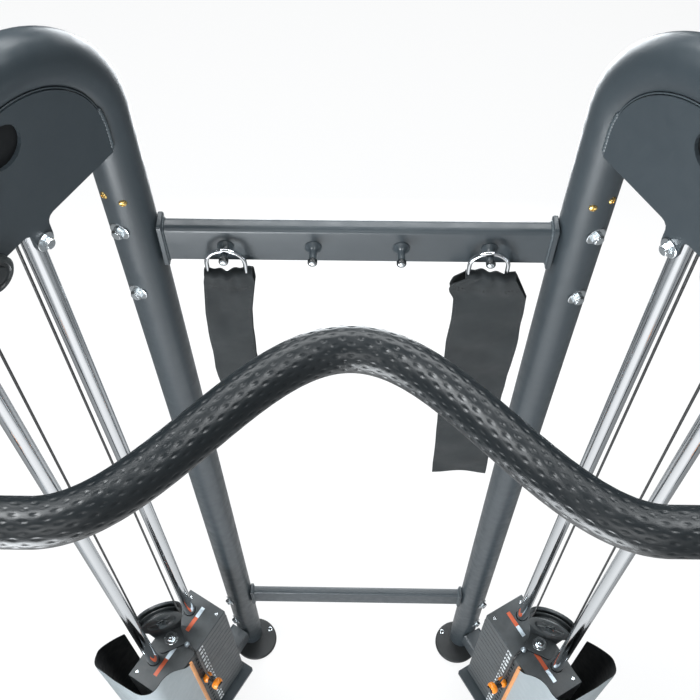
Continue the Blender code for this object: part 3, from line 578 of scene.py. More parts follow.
def build_gusset_details(side):
    """Stepped boss at the inner gusset plate's lower edge, and a dark disc in its big hole."""
    boss = [(0, 0), (0.0215, 0), (0.0225, 0.0010), (0.0225, 0.0075), (0.0205, 0.0095),
            (0.0165, 0.0100), (0.0155, 0.0082), (0.0115, 0.0078), (0.0105, 0.0096),
            (0.0060, 0.0100), (0, 0.0100)]
    parts = [turn(boss, (0.2250, PLATE_Y - 0.0002, 1.9350), ACROSS, 56)]
    make_tower(side, "gusset_boss", parts, "nylon", "frame")
    # Near-black disc just behind the inner plate, seen through its big hole.
    disc = [(0, 0), (0.0262, 0), (0.0262, 0.0018), (0, 0.0018)]
    parts = [turn(disc, (0.156, PLATE_Y - PLATE_THICK - 0.0024, 2.061), ACROSS, 48)]
    make_tower(side, "gusset_hole_disc", parts, "inside", "frame")


def build_rods(side):
    low, high = BASE_Z - 0.004, ROD_TOP
    profile = [(0, low), (ROD_R - 0.001, low), (ROD_R, low + 0.001), (ROD_R, high - 0.0015),
               (ROD_R - 0.0015, high), (0, high)]
    for name, x in ROD_X.items():
        make_tower(side, f"rod_{name}", [turn(profile, (x, 0, 0), UP, 72)], "chrome", "frame",
                   replaces=f"guide_rod_{name}")


# ---- pulleys ---------------------------------------------------------------------------
def pulley(x, y, z, radius, degrees):
    """Grooved sheave with five ribs on each side of its web, and a bearing race."""
    angle = math.radians(degrees)
    axis = np.array((-math.sin(angle), math.cos(angle), 0))
    centre = np.array((x, y, z))
    half = PULLEY_WIDTH / 2
    wheel = [(0.0052, -half * 0.85), (0.0110, -half * 0.85), (0.0120, -half * 0.45),
             (radius * 0.62, -half * 0.45), (radius * 0.70, -half * 0.95),
             (radius - 0.0012, -half), (radius, -half + 0.0008), (radius, -half + 0.0022),
             (radius - 0.0060, -0.0030), (radius - 0.0078, -0.0012)]
    race = [(0.0053, -half * 0.92), (0.0100, -half * 0.92)]
    parts = [turn(mirrored(wheel), centre, axis, 64),
             (*turn(mirrored(race), centre, axis, 32), "zinc")]
    for k in range(5):
        angle = 2 * math.pi * k / 5
        out = math.cos(angle) * np.cross(axis, UP) + math.sin(angle) * np.array(UP)
        for sign in (-1, 1):
            middle = centre + axis * sign * half * 0.38
            parts.append(tube([middle + out * 0.0105, middle + out * radius * 0.68], 0.0020, 8))
    return parts


# node: x, y, z, radius, turn about the vertical in degrees
PULLEYS = {
    "top_pulley_rear": (TOP_REAR_X, -PULLEY_Y, TOP_Z, PULLEY_R, 0),
    "top_pulley_front": (TOP_FRONT_X, PULLEY_Y, TOP_Z, PULLEY_R, 0),
    "column_pulley_rear": (COLUMN_REAR_X, -PULLEY_Y, TOP_Z, PULLEY_R, 0),
    "column_pulley_front": (COLUMN_FRONT_X, PULLEY_Y, TOP_Z, PULLEY_R, 0),
    "column_pulley_low": (COLUMN_FRONT_X, 0, LOW_Z, PULLEY_R, 0),
    "float_pulley": (STEM_X, 0, FLOAT_Z, PULLEY_R, FLOAT_TURN),
    "swivel_pulley": (SHEAVE_X, 0, CARRIAGE_Z, SHEAVE_R, 0),
}


def build_pulleys(side):
    for node, place in PULLEYS.items():
        make_tower(side, f"sheave_{node}", pulley(*place), "nylon", node, replaces=node)


# ---- cables ----------------------------------------------------------------------------
def groove_arc(x, y, z, start, end, radius=GROOVE_R, turned=0.0, steps=28):
    """Cable round a pulley, from one angle to the other in degrees."""
    turned = math.radians(turned)
    line = []
    for degrees in np.linspace(start, end, steps):
        angle = math.radians(degrees)
        out = radius * math.cos(angle)
        line.append((x + out * math.cos(turned), y + out * math.sin(turned),
                     z + radius * math.sin(angle)))
    return line


def cable(path):
    return tube(path, CABLE_R, CABLE_SIDES)


def build_stack_cables(side):
    """One cable under the floating pulley, and its two runs up to the top pulleys."""
    lead = 0.055                     # straight length that rises with the floating pulley
    under = groove_arc(STEM_X, 0, FLOAT_Z, 180, 360, turned=FLOAT_TURN, steps=40)
    low_rear, low_front = np.array(under[0]), np.array(under[-1])
    path = [low_rear + (0, 0, lead), *under, low_front + (0, 0, lead)]
    make_tower(side, "cable_float", [cable(path)], "cable", "stack")
    for name, low, top_x, top_y in (("rear", low_rear, TOP_REAR_X - GROOVE_R, -PULLEY_Y),
                                    ("front", low_front, TOP_FRONT_X - GROOVE_R, PULLEY_Y)):
        bottom, top = low + (0, 0, lead - 0.001), np.array((top_x, top_y, TOP_Z))
        # an extra ring on each run at height 1.956, a little below the top pulley
        knee = top + (bottom - top) * ((TOP_Z - 1.956) / (TOP_Z - bottom[2]))
        item = make_tower(side, f"cable_{name}", [cable([bottom, knee, top])], "cable",
                          replaces=f"stack_cable_{name}")
        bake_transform(item)


def build_column_cables(side):
    """Fixed runs over the top and round the low pulley, then the two runs to the carriage."""
    rear = groove_arc(TOP_REAR_X, -PULLEY_Y, TOP_Z, 180, 90)
    rear += groove_arc(COLUMN_REAR_X, -PULLEY_Y, TOP_Z, 90, 0)
    front = groove_arc(TOP_FRONT_X, PULLEY_Y, TOP_Z, 180, 90)
    front += groove_arc(COLUMN_FRONT_X, PULLEY_Y, TOP_Z, 90, 0)
    front += [(COLUMN_FRONT_X + GROOVE_R, PULLEY_Y * (1 - share), TOP_Z + (LOW_Z - TOP_Z) * share)
              for share in np.linspace(0, 1, 40)[1:-1]]
    front += groove_arc(COLUMN_FRONT_X, 0, LOW_Z, 0, -180, steps=40)
    make_tower(side, "cable_fixed", [cable(rear), cable(front)], "cable", "frame")

    # name, fixed end's y and z, carriage end's z, then each end's step to its blend height
    for name, y, fixed_z, carriage_z, fixed_step, carriage_step in (
            ("lead", -PULLEY_Y, TOP_Z, CARRIAGE_Z + 0.0665, -0.01, 0.02),
            ("tail", 0, LOW_Z, CARRIAGE_Z - 0.077, 0.02, -0.02)):
        path = [(SWIVEL_X, y, fixed_z), (SWIVEL_X, 0, carriage_z)]
        item = make_tower(side, f"cable_{name}", [cable(path)], "cable")
        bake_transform(item)

    stop = [(0, 0), (0.0060, 0), (0.0068, 0.0010), (0.0068, 0.010), (0.0050, 0.0125), (0, 0.0125)]
    make_tower(side, "cable_stop", [turn(stop, (SWIVEL_X, 0, CARRIAGE_Z - 0.0835), UP, 24)],
               "zinc", "carriage")


def build_hand_end(side):
    """Cable round the swivel's sheave, the stop ball on its end and the snap hook below."""
    ball_x, ball_z = 0.7060, 1.1110
    path = [(SWIVEL_X, 0, CARRIAGE_Z + 0.066 - 0.004 * k) for k in range(16)]
    path += groove_arc(SHEAVE_X, 0, CARRIAGE_Z, 180, 305, radius=SHEAVE_R - 0.005, steps=30)
    path.append((ball_x, 0, ball_z))
    make_tower(side, "cable_hand", [cable(path)], "cable", "swivel")

    ball = [(0, -0.0110), (0.0050, -0.0102), (0.0090, -0.0068), (0.0106, 0), (0.0090, 0.0068),
            (0.0050, 0.0102), (0.0030, 0.0110), (0, 0.0110)]
    make_tower(side, "stop_ball", [turn(ball, (ball_x, 0, ball_z), UP, 40)], "rubber", "swivel",
               smooth=60)

    link_z = ball_z - 0.0150
    link = [(ball_x, 0.0046 * math.cos(angle), link_z + 0.0062 * math.sin(angle))
            for angle in np.linspace(0, 2 * np.pi, 28)[:-1]]
    hook = []
    for k in range(48):
        cosine, sine = math.cos(2 * math.pi * k / 48), math.sin(2 * math.pi * k / 48)
        hook.append((ball_x + 0.0062 * cosine * (1 + 0.12 * sine), 0.0,
                     link_z - 0.0110 + 0.0108 * sine))
    gate = [(0, 0), (0.0022, 0), (0.0026, 0.001), (0.0026, 0.007), (0.0022, 0.008), (0, 0.008)]
    parts = [tube(link, 0.0013, 10, closed=True), tube(hook, 0.0017, 12, closed=True),
             turn(gate, (ball_x + 0.0062, 0, link_z - 0.015), UP, 20)]
    make_tower(side, "snap_hook", parts, "chrome", "swivel", smooth=50)


# ---- adjustment column and carriage ----------------------------------------------------
def build_column_details(side):
    # Near-black cylinders just under the column's skin at each hole: painted shade inside the
    # holes.
    hole = [(0, 0), (0.0054, 0), (0.0054, 0.0165), (0, 0.0165)]
    holes = [turn(hole, (COLUMN_X, 0.0082, 0.33 + 0.075 * k), ACROSS, 20) for k in range(21)]
    make_tower(side, "column_hole_shade", holes, "inside", "frame")

    bore, rim = COLUMN_R + 0.0006, SLEEVE_R
    bushes = []
    for low in (CARRIAGE_Z - 0.0815, CARRIAGE_Z + 0.0752):
        profile = [(bore, low), (rim - 0.001, low), (rim, low + 0.001), (rim, low + 0.0052),
                   (rim - 0.001, low + 0.0062), (bore, low + 0.0062)]
        bushes.append(turn(profile, (COLUMN_X, 0, 0), UP, 56))
    make_tower(side, "carriage_bushes", bushes, "nylon", "carriage")


def build_pop_pin(side):
    knob = [(0, 0.0570), (0.0120, 0.0570), (0.0135, 0.0580), (0.0150, 0.0640), (0.0178, 0.0700),
            (0.0182, 0.0730), (0.0182, 0.0790), (0.0172, 0.0830), (0.0140, 0.0880),
            (0.0080, 0.0895), (0, 0.0897)]
    pin = [(0, COLUMN_R + 0.0010), (0.0040, COLUMN_R + 0.0010), (0.0048, COLUMN_R + 0.0018),
           (0.0048, 0.0600), (0, 0.0600)]
    centre = (COLUMN_X, 0, CARRIAGE_Z)
    parts = [turn(knob, centre, ACROSS, 48), (*turn(pin, centre, ACROSS, 28), "zinc")]
    make_tower(side, "pop_knob", parts, "orange", "pop_pin", replaces="pop_pin")


# ---- weight stack ----------------------------------------------------------------------
def build_stack_top(side):
    """Two-coloured stripes, nut, screws and the tether's round-headed eye on the top weight."""
    rear_look, front_look = ("silver", "decal") if side == "l" else ("decal", "silver")
    stripe_y, stripe_z = (0.0185, 0.0272), (STACK_TOP - 0.0002, STACK_TOP + 0.0007)
    stripes = []
    for rear, change, front in ((0.1300, 0.1560, 0.1915), (0.2340, 0.2640, 0.3060)):
        if side == "r":
            change = rear + front - change
        for ends, look in (((rear, change - 0.0002), rear_look), ((change, front), front_look)):
            stripes.append((*block(ends, stripe_y, stripe_z, 0.0003), look))
    screw = [(0, -0.0002), (0.0042, -0.0002), (0.0042, 0.0010), (0.0030, 0.0016), (0, 0.0016)]
    nut = hex_bolt((STEM_X, 0.0050, STACK_TOP + 0.0064), UP, 0.0150, stud=0.0035)
    nut += [turn(screw, (x, y, STACK_TOP), UP, 20) for y in (0.0560, -0.0150)
            for x in (0.3200, 0.1270)]
    make_tower(side, "stack_stripes", stripes, "silver", "stack")
    make_tower(side, "stack_nut", nut, "zinc", "stack", smooth=25)
    profile = [(0, -0.0090), (0.0030, -0.0090), (0.0030, -0.0050)]
    profile += [(0.0062 * math.cos(math.radians(degrees)), 0.0062 * math.sin(math.radians(degrees)))
                for degrees in range(-60, 90, 12)]
    profile.append((0, 0.0062))
    make_tower(side, "tether_eye", [turn(profile, TETHER_TOP, UP, 28)], "silver", "stack",
               smooth=60)


TETHER_TOP = np.array((0.2170, 0.0440, STACK_TOP + 0.0090))
TETHER_LINE = np.array([
    TETHER_TOP, TETHER_TOP + (0.001, 0.012, 0.0015), TETHER_TOP + (0.0035, 0.024, -0.004),
    (0.2225, 0.0740, 0.570), (0.2232, 0.0760, 0.530), (0.2235, 0.0790, 0.470),
    (0.2235, 0.0860, 0.440), (0.2235, 0.0905, PIN_Z + 0.008)])


def curve_through(points, steps):
    """Catmull-Rom curve through the points."""
    last = len(points) - 1
    line = []
    for i in range(last):
        before, start, end, after = points[[max(i - 1, 0), i, i + 1, min(i + 2, last)]]
        for share in np.linspace(0, 1, steps)[:-1]:
            line.append(0.5 * (2 * start + (end - before) * share
                               + (2 * before - 5 * start + 4 * end - after) * share * share
                               + (-before + 3 * start - 3 * end + after) * share ** 3))
    line.append(points[-1])
    return line


def build_tether(side):
    """Cord from the stack's top to the selector pin."""
    line = curve_through(TETHER_LINE, 12)
    item = make_tower(side, "tether", [tube(line, 0.0023, 10)], "cable")
    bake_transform(item)


def build_selector_pin(side):
    centre = (STEM_X, 0, PIN_Z)

    def rounded_ring(y, radius, half):
        profile = [(0.0045, y - half), (radius * 0.80, y - half), (radius * 0.96, y - half * 0.55),
                   (radius, y), (radius * 0.96, y + half * 0.55), (radius * 0.80, y + half),
                   (0.0045, y + half)]
        return (*turn(profile, centre, ACROSS, 40), "orange")

    pin = [(0, -0.0110), (0.0036, -0.0110), (0.0048, -0.0090), (0.0048, 0.0720), (0, 0.0720)]
    grip = [(0, 0.0700), (0.0080, 0.0700), (0.0086, 0.0720), (0.0080, 0.0850), (0.0092, 0.0905),
            (0.0080, 0.0960), (0.0088, 0.1100), (0.0096, 0.1125), (0.0086, 0.1150), (0, 0.1155)]
    parts = [(*turn(pin, centre, ACROSS, 28), "zinc"),
             rounded_ring(0.0775, 0.0128, 0.0062),
             rounded_ring(0.1045, 0.0138, 0.0070),
             (*turn(grip, centre, ACROSS, 36), "rubber")]
    make_tower(side, "pin_knob", parts, "orange", "selector_pin", replaces="selector_pin")


def build_index_plates(side):
    """A pale plate with a bar mark on each weight; the lifted ones ride with the stack."""
    lifted = [STACK_TOP - 0.0125]
    lifted += [LIFTED_TOP - (i + 0.5) * WEIGHT_PITCH for i in range(LIFTED_COUNT)]
    rest = [REST_TOP - (i + 0.5) * WEIGHT_PITCH for i in range(REST_COUNT)]
    for name, body, heights in (("lifted", "stack", lifted), ("rest", "frame", rest)):
        parts = []
        for z in heights:
            parts.append(block((0.1975, 0.2115), (STACK_Y - 0.0002, STACK_Y + 0.0007),
                               (z - 0.0056, z + 0.0056), 0.0002))
            parts.append((*block((0.2005, 0.2045), (STACK_Y + 0.0005, STACK_Y + 0.0009),
                                 (z - 0.0034, z + 0.0034)), "inside"))
        make_tower(side, f"index_{name}", parts, "label", body)


# ---- shroud ----------------------------------------------------------------------------
SHROUD_LOW = BASE_Z + 0.0325
SHROUD_REAR_X, SHROUD_FRONT_X = 0.2500, 0.3680
SHROUD_OUTER_Y, SHROUD_INNER_Y = -0.0950, 0.0775
SHROUD_CORNER = 0.040


def build_shroud_sheet(side):
    """Thin sheet bent round the front of the stack: grey outside, black inside."""
    cols, rows, half_thickness = 150, 26, 0.0014
    corner_x = SHROUD_FRONT_X - SHROUD_CORNER
    plan = [(SHROUD_REAR_X, SHROUD_INNER_Y), (0.290, SHROUD_INNER_Y)]
    plan += arc(corner_x, SHROUD_INNER_Y - SHROUD_CORNER, SHROUD_CORNER, 90, 0, 24)
    plan.append((SHROUD_FRONT_X + 0.002, -0.013))
    plan += arc(corner_x, SHROUD_OUTER_Y + SHROUD_CORNER, SHROUD_CORNER, 0, -90, 24)
    plan += [(0.300, SHROUD_OUTER_Y), (0.268, SHROUD_OUTER_Y)]
    distances, line = resample(np.array(plan), cols)
    for _ in range(6):
        line[1:-1] = (line[:-2] + 2 * line[1:-1] + line[2:]) / 4
    heading = tangents(line)
    # the plan is drawn so that its left-hand normal points out of the shroud
    normals = np.stack([-heading[:, 1], heading[:, 0]], 1)

    # Top edge: a dip at the first end, a small crest, a smooth step down, a drop at the last end.
    share = distances / distances[-1]
    step = np.clip((share - 0.62) / 0.18, 0, 1)
    rim = (0.690 - 0.085 * np.exp(-(share / 0.09) ** 2)
           + 0.018 * np.exp(-((share - 0.20) / 0.07) ** 2)
           - 0.045 * step * step * (3 - 2 * step)
           - 0.073 * np.clip((share - 0.8) / 0.2, 0, None) ** 1.4)
    points = []
    for sign in (1, -1):
        for j, level in enumerate(np.linspace(0, 1, rows)):
            thinning = 0.45 if j in (0, rows - 1) else 1.0
            points.append(np.column_stack([line + sign * half_thickness * thinning * normals,
                                           SHROUD_LOW + (rim - SHROUD_LOW) * level]))
    faces = sheet_faces(rows, cols)
    item = make_tower(side, "shroud_sheet", [(np.vstack(points), faces)], "shroud", "frame",
                      smooth=40, replaces="shroud")
    outer_count = (rows - 1) * (cols - 1)
    item.data.materials.append(MATERIALS["inside"])
    item.data.polygons.foreach_set("material_index",
                                   [0] * outer_count + [1] * (len(faces) - outer_count))
    item.data.update()


# Section of the strip on the sheet's rear edge: x, distance inwards from the sheet.
SHROUD_EDGE = ((0.2425, -0.0020), (0.2425, 0.0022), (0.2440, 0.0030), (0.2505, 0.0030),
               (0.2520, 0.0022), (0.2520, 0.0013), (0.2490, 0.0012), (0.2490, -0.0030))


def build_shroud_edge(side):
    points = [(x, SHROUD_INNER_Y + offset, z) for z in np.linspace(SHROUD_LOW, 0.606, 30)
              for x, offset in SHROUD_EDGE]
    parts = [(np.array(points), ring_faces(30, len(SHROUD_EDGE)))]
    make_tower(side, "shroud_edge", parts, "edge", "frame")


for side in OUTWARD:
    build_hoop(side)
    build_feet(side)
    build_gusset_welds(side)
    build_bar_weld(side)
    build_fasteners(side)
    build_screws(side)
    build_low_bracket(side)
    build_gusset_details(side)
    build_rods(side)
    build_pulleys(side)
    build_stack_cables(side)
    build_column_cables(side)
    build_hand_end(side)
    build_column_details(side)
    build_pop_pin(side)
    build_stack_top(side)
    build_tether(side)
    build_selector_pin(side)
    build_index_plates(side)
    build_shroud_sheet(side)
    build_shroud_edge(side)


# ---- pull-up bar and its dimpled grip --------------------------------------------------
def bar_curve(end_x, count):
    x = np.linspace(-end_x, end_x, count)
    share = np.clip(np.abs(x) / BAR_BEND_X, 0, 1)
    y = BAR_Y + BAR_SETBACK * (0.5 + 0.5 * np.cos(np.pi * share))
    return np.stack([x, y, np.full(count, BAR_Z)], 1)


def build_grip():
    end_x, ring_step, sides = 0.560, 0.001627, 130
    dimple_rows, pitch = 26, 0.01464
    half_length, half_width, dimple_depth = 0.0034, 0.0017, 0.00085
    plain_end, round_end = 0.008, 0.0025

    curve = bar_curve(end_x, 6001)
    count = int(run_lengths(curve)[-1] / ring_step)
    along, centre = resample(curve, count)
    heading = tangents(centre)
    sideways = np.stack([-heading[:, 1], heading[:, 0], np.zeros(count)], 1)
    angles = np.linspace(0, 2 * np.pi, sides, endpoint=False)

    # Diamond dimples in lengthwise rows; every other row is shifted by half a pitch.
    row = np.round(angles / (2 * np.pi / dimple_rows))
    across_gap = (angles - row * 2 * np.pi / dimple_rows) * GRIP_R
    shift = (row.astype(int) % 2) * pitch / 2
    along_gap = (along[:, None] - along[-1] / 2 - shift + pitch / 2) % pitch - pitch / 2
    shape = (1 - (np.abs(along_gap) / half_length) ** 0.95
             - (np.abs(across_gap)[None, :] / half_width) ** 0.95)
    dent = dimple_depth * np.clip(shape, 0, None) ** 0.70
    to_end = np.minimum(along, along[-1] - along)[:, None]
    dent = np.where(to_end < plain_end, 0, dent)
    rounding = np.where(to_end < round_end, (round_end - to_end) ** 2 / 0.0035, 0)
    radii = GRIP_R - dent - rounding
    out = (np.cos(angles)[None, :, None] * sideways[:, None, :]
           + np.sin(angles)[None, :, None] * np.array(UP, float))
    points = (centre[:, None, :] + radii[:, :, None] * out).reshape(-1, 3)
    make("grip_sleeve", [(points, ring_faces(count, sides))], "rubber", "frame", smooth=50,
         stands_for=["pull_up_grip"])


make("bar_smooth", [tube(bar_curve(BAR_END_X, 400), BAR_R, 40)], "frame", "frame",
     stands_for=["pull_up_bar"])
build_grip()


# ---- crossbars -------------------------------------------------------------------------
def round_bar(x_range, y_range, z_range, radius, edge=0.0):
    """Rounded rectangle drawn out along x; edge softens its two ends."""
    (x_low, x_high), (y_low, y_high), (z_low, z_high) = x_range, y_range, z_range
    stations = [(x_low, 0), (x_high, 0)]
    if edge:
        stations = [(x_low, edge), (x_low + edge, 0), (x_high - edge, 0), (x_high, edge)]
    corners = ((y_high - radius, z_high - radius, 0), (y_low + radius, z_high - radius, 90),
               (y_low + radius, z_low + radius, 180), (y_high - radius, z_low + radius, 270))
    points = [(x, y, z) for x, inset in stations for centre_y, centre_z, start in corners
              for y, z in arc(centre_y, centre_z, radius - inset, start, start + 90, 10)]
    return np.array(points), ring_faces(len(stations), 44)


def peg(x):
    """Flared peg on the top crossbar's front, tilted up a little, with cap and end button."""
    centre, axis = (x, CROSSBAR_Y - 0.002, TOP_BAR_Z + 0.0002), (0, -1, 0.0952)
    stem = [(0, -0.006), (0.0115, -0.006), (0.0112, 0.0000), (0.0085, 0.0022), (0.0060, 0.0046),
            (0.0050, 0.0080), (0.0046, 0.0225), (0, 0.0225)]
    cap = [(0, 0.0222), (0.0056, 0.0222), (0.0064, 0.0232), (0.0064, 0.0274), (0.0056, 0.0286),
           (0, 0.0286)]
    button = [(0, 0.0278), (0.0040, 0.0278), (0.0040, 0.0292), (0.0026, 0.0300), (0, 0.0300)]
    return [turn(stem, centre, axis, 32), (*turn(cap, centre, axis, 28), "rubber"),
            (*turn(button, centre, axis, 24), "zinc")]


def build_crossbar(name, z, half_height, depth, radius):
    end, back_y = CROSSBAR_END_X, CROSSBAR_Y + depth
    parts = [round_bar((-end + 0.004, end - 0.004), (CROSSBAR_Y, back_y),
                       (z - half_height, z + half_height), radius)]
    flange_half = half_height + 0.007
    for x_range in ((-end, -end + 0.007), (end - 0.007, end)):
        parts.append(round_bar(x_range, (CROSSBAR_Y - 0.004, back_y + 0.004),
                               (z - flange_half, z + flange_half), 0.005, edge=0.0010))
    if name == "top":
        for x in PEG_X:
            parts += peg(x)
    make(f"crossbar_{name}_smooth", parts, "frame", "frame", smooth=40,
         stands_for=[f"crossbar_{name}"])


def build_crossbar_welds():
    """Beads round both ends of each crossbar, following a squarish loop."""
    squareness = 6.0
    radii = [0.0020 * (1 + 0.14 * math.sin(k * 2.1)) for k in range(80)]
    beads = []
    for sign in (-1, 1):
        x = sign * (UPRIGHT_X - TUBE_R - 0.0075)
        for _, z, half_height, depth, _ in CROSSBARS:
            loop = []
            for k in range(80):
                cosine, sine = math.cos(2 * math.pi * k / 80), math.sin(2 * math.pi * k / 80)
                reach = (abs(cosine) ** squareness + abs(sine) ** squareness) ** (-1 / squareness)
                loop.append((x, CROSSBAR_Y + depth / 2 + cosine * reach * (depth / 2 + 0.0004),
                             z + sine * reach * (half_height + 0.0004)))
            beads.append(tube(loop, radii, 8, closed=True))
    make("crossbar_welds", beads, "weld", "frame", smooth=60)


for crossbar in CROSSBARS:
    build_crossbar(*crossbar)
build_crossbar_welds()

# ---- D-rings and webbing straps --------------------------------------------------------
STRAP_Y = UPRIGHT_Y - 0.032
RING_TOP, RING_LOW = TOP_BAR_Z + 0.0100, TOP_BAR_Z - 0.0290
FOLD_Z, FOLD_R = RING_LOW - 0.0030, 0.0062
WEB_HALF_THICK = 0.0007


def build_ring(side, x):
    """Round-topped ring with a straight lower bar."""
    half, bow_r, corner = 0.0255, 0.0265, 0.0035
    corner_z = RING_LOW - 0.0040
    straight = np.linspace(RING_TOP - 0.0275, corner_z, 4)
    bends = np.linspace(0.3, math.pi / 2, 5)
    loop = [(x + half * math.cos(math.radians(degrees)),
             RING_TOP - bow_r + bow_r * math.sin(math.radians(degrees)))
            for degrees in range(0, 181, 6)]
    loop += [(x - half, z) for z in straight]
    loop += [(x - half + corner * (1 - math.cos(angle)), corner_z - corner * math.sin(angle))
             for angle in bends]
    loop += [(x + offset, corner_z - corner)
             for offset in np.linspace(-half + 0.006, half - 0.006, 10)]
    loop += [(x + half - corner * (1 - math.cos(angle)), corner_z - corner * math.sin(angle))
             for angle in bends[::-1]]
    loop += [(x + half, z) for z in straight[::-1]]
    path = [(ring_x, STRAP_Y, z) for ring_x, z in loop]
    make(f"d_ring_{side}", [tube(path, 0.0030, 16, closed=True, up=ACROSS)], "chrome",
         f"strap_{side}", smooth=60, stands_for=[f"strap_ring_{side}"])


# Outline of each strap: height and x of its two long edges, from the top down.
# Waves: turns of phase across and up the band, phase, amplitude.
STRAPS = {
    "l": dict(
        left=[(1.712, -0.2040), (1.690, -0.2080), (1.667, -0.2105), (1.620, -0.2140),
              (1.568, -0.2163), (1.471, -0.2177), (1.430, -0.2150), (1.378, -0.2110)],
        right=[(1.712, -0.1410), (1.690, -0.1390), (1.657, -0.1440), (1.620, -0.1490),
               (1.570, -0.1514), (1.510, -0.1519), (1.440, -0.1470), (1.378, -0.1450)],
        waves=[(5.0, 38, 0.4, 0.0020), (3.0, -75, 1.0, 0.0012), (9.0, 21, 2.2, 0.0009)]),
    "r": dict(
        left=[(1.716, 0.1560), (1.706, 0.1440), (1.694, 0.1290), (1.680, 0.1250),
              (1.672, 0.1262), (1.657, 0.1330), (1.601, 0.1335), (1.549, 0.1313),
              (1.479, 0.1321), (1.322, 0.1346), (1.175, 0.1380), (1.113, 0.1388)],
        right=[(1.716, 0.2020), (1.706, 0.2130), (1.690, 0.2200), (1.676, 0.2260),
               (1.659, 0.2328), (1.616, 0.2343), (1.552, 0.2360), (1.482, 0.2341),
               (1.430, 0.2330), (1.351, 0.2326), (1.200, 0.2345), (1.113, 0.2362)],
        waves=[(4.0, 34, 0.0, 0.0022), (7.0, -60, 1.4, 0.0014), (2.0, 95, 0.3, 0.0008)]),
}


def build_strap(side, left, right, waves):
    """Band folded over the ring's straight bar: two creased layers, gathered at the fold."""
    left, right = np.array(sorted(left)), np.array(sorted(right))
    low = min(left[0, 0], right[0, 0])
    heights = np.linspace(low, FOLD_Z - FOLD_R, 150)
    columns = np.linspace(0, 1, 44)

    def x_at(share, z):
        left_x, right_x = np.interp(z, *left.T), np.interp(z, *right.T)
        return left_x + (right_x - left_x) * share

    def crease(share, z):
        waviness = sum(amplitude * np.sin(across * share + upward * z + phase)
                       for across, upward, phase, amplitude in waves)
        near_fold = math.exp(-((FOLD_Z - z) / 0.045) ** 2)
        return waviness + near_fold * 0.0022 * np.sin(share * 21 + 1.0) * np.sin(math.pi * share)

    def half_gap(z):
        return 0.0018 + (FOLD_R - 0.0008) * math.exp(-((FOLD_Z - z) / 0.040) ** 2)

    def band_row(z, layer, lift=0.0, shift=0.0):
        """layer: -1 is the front layer, 1 the back one, between them the fold."""
        y = STRAP_Y + layer * half_gap(z) + crease(columns, z)
        return np.stack([x_at(columns, z) + shift, y, np.full(len(columns), z + lift)], 1)

    rows = [band_row(z, -1) for z in heights]
    rows += [band_row(heights[-1], math.cos(angle), lift=math.sin(angle) * FOLD_R)
             for angle in np.linspace(math.pi, 0, 14)[1:-1]]
    rows += [band_row(z, 1, shift=0.0012) for z in heights[::-1]]
    middle = np.array(rows)
    normals = np.cross(np.gradient(middle, axis=0), np.gradient(middle, axis=1))
    normals /= np.linalg.norm(normals, axis=2)[:, :, None]
    points = np.vstack([(middle + sign * normals * WEB_HALF_THICK).reshape(-1, 3)
                        for sign in (1, -1)])
    parts = [(points, sheet_faces(len(rows), len(columns)))]
    make(f"strap_webbing_{side}", parts, "webbing", f"strap_{side}", smooth=70,
         stands_for=[f"strap_{side}"])

    def stitch(share, z, half_x, half_z):
        x = x_at(share, z)
        y = STRAP_Y - half_gap(z) + crease(share, z) - WEB_HALF_THICK - 0.0002
        return tube([(x - half_x, y + 0.0004, z - half_z), (x, y, z),
                     (x + half_x, y + 0.0004, z + half_z)], 0.00045, 6)

    # Two rows across under the fold and one line down each edge.
    stitches = [stitch(share, z, 0.0013, 0) for z in (FOLD_Z - 0.030, FOLD_Z - 0.036)
                for share in np.linspace(0.08, 0.92, 18)]
    stitches += [stitch(share, z, 0, 0.0014) for share in (0.045, 0.955)
                 for z in np.arange(low + 0.006, FOLD_Z - 0.045, 0.0056)]
    make(f"strap_stitches_{side}", stitches, "cable", f"strap_{side}", smooth=60)


build_ring("l", PEG_X[0])
build_ring("r", PEG_X[-1])
for side, strap in STRAPS.items():
    build_strap(side, **strap)

# ---- soft edges on the CAD nodes that stay ---------------------------------------------
BEVEL_WIDTHS = {
    "top_plate_inner": 0.0009, "top_plate_outer": 0.0009, "base_tube": 0.0008,
    "carriage": 0.0009, "swivel_bracket": 0.0006, "head_plate": 0.0012,
    "weight_plates_lifted": 0.0006, "weight_plates_rest": 0.0006, "float_bracket": 0.0008,
    "stack_bumper": 0.0010,
}
for name, width in BEVEL_WIDTHS.items():
    for side in OUTWARD:
        bevel = frame["nodes"][f"{name}_{side}"].modifiers.new("edge", "BEVEL")
        bevel.width = width
        bevel.segments = 2
        bevel.limit_method = "ANGLE"
        bevel.angle_limit = math.radians(40)


# ---- floor -----------------------------------------------------------------------------
def floor_material():
    """Pale ground that also glows, so that it lights the machine's front and underside."""
    material = bpy.data.materials.new("pale_floor")
    material.use_nodes = True
    tree = material.node_tree
    matte = tree.nodes["Principled BSDF"]
    set_inputs(tree, matte, {"Base Color": (0.62, 0.64, 0.65, 1), "Roughness": 0.9,
                             "Specular IOR Level": 0.1})
    space = add_node(tree, "TexCoord").outputs["Object"]
    place = add_node(tree, "SeparateXYZ", {0: space})
    # strongest in front of the machine, fading to the rear and to both sides
    lengthwise = remap(tree, place.outputs["Y"], (1.20, -1.20), (0.30, 1.15),
                       interpolation_type="SMOOTHSTEP")
    sideways = remap(tree, calculate(tree, "ABSOLUTE", place.outputs["X"]), (0.35, 1.10),
                     (1.0, 0.22), interpolation_type="SMOOTHSTEP")
    strength = calculate(tree, "MULTIPLY", lengthwise, sideways)
    glow = add_node(tree, "Emission", {"Color": (1, 1, 1, 1),
                                       "Strength": camera_switch(tree, strength, seen=1.06)})
    share = calculate(tree, "MAXIMUM", strength, 0.80)
    mix = add_node(tree, "MixShader", {"Fac": share, 1: matte.outputs[0], 2: glow.outputs[0]})
    set_inputs(tree, tree.nodes["Material Output"], {"Surface": mix.outputs[0]})
    return material


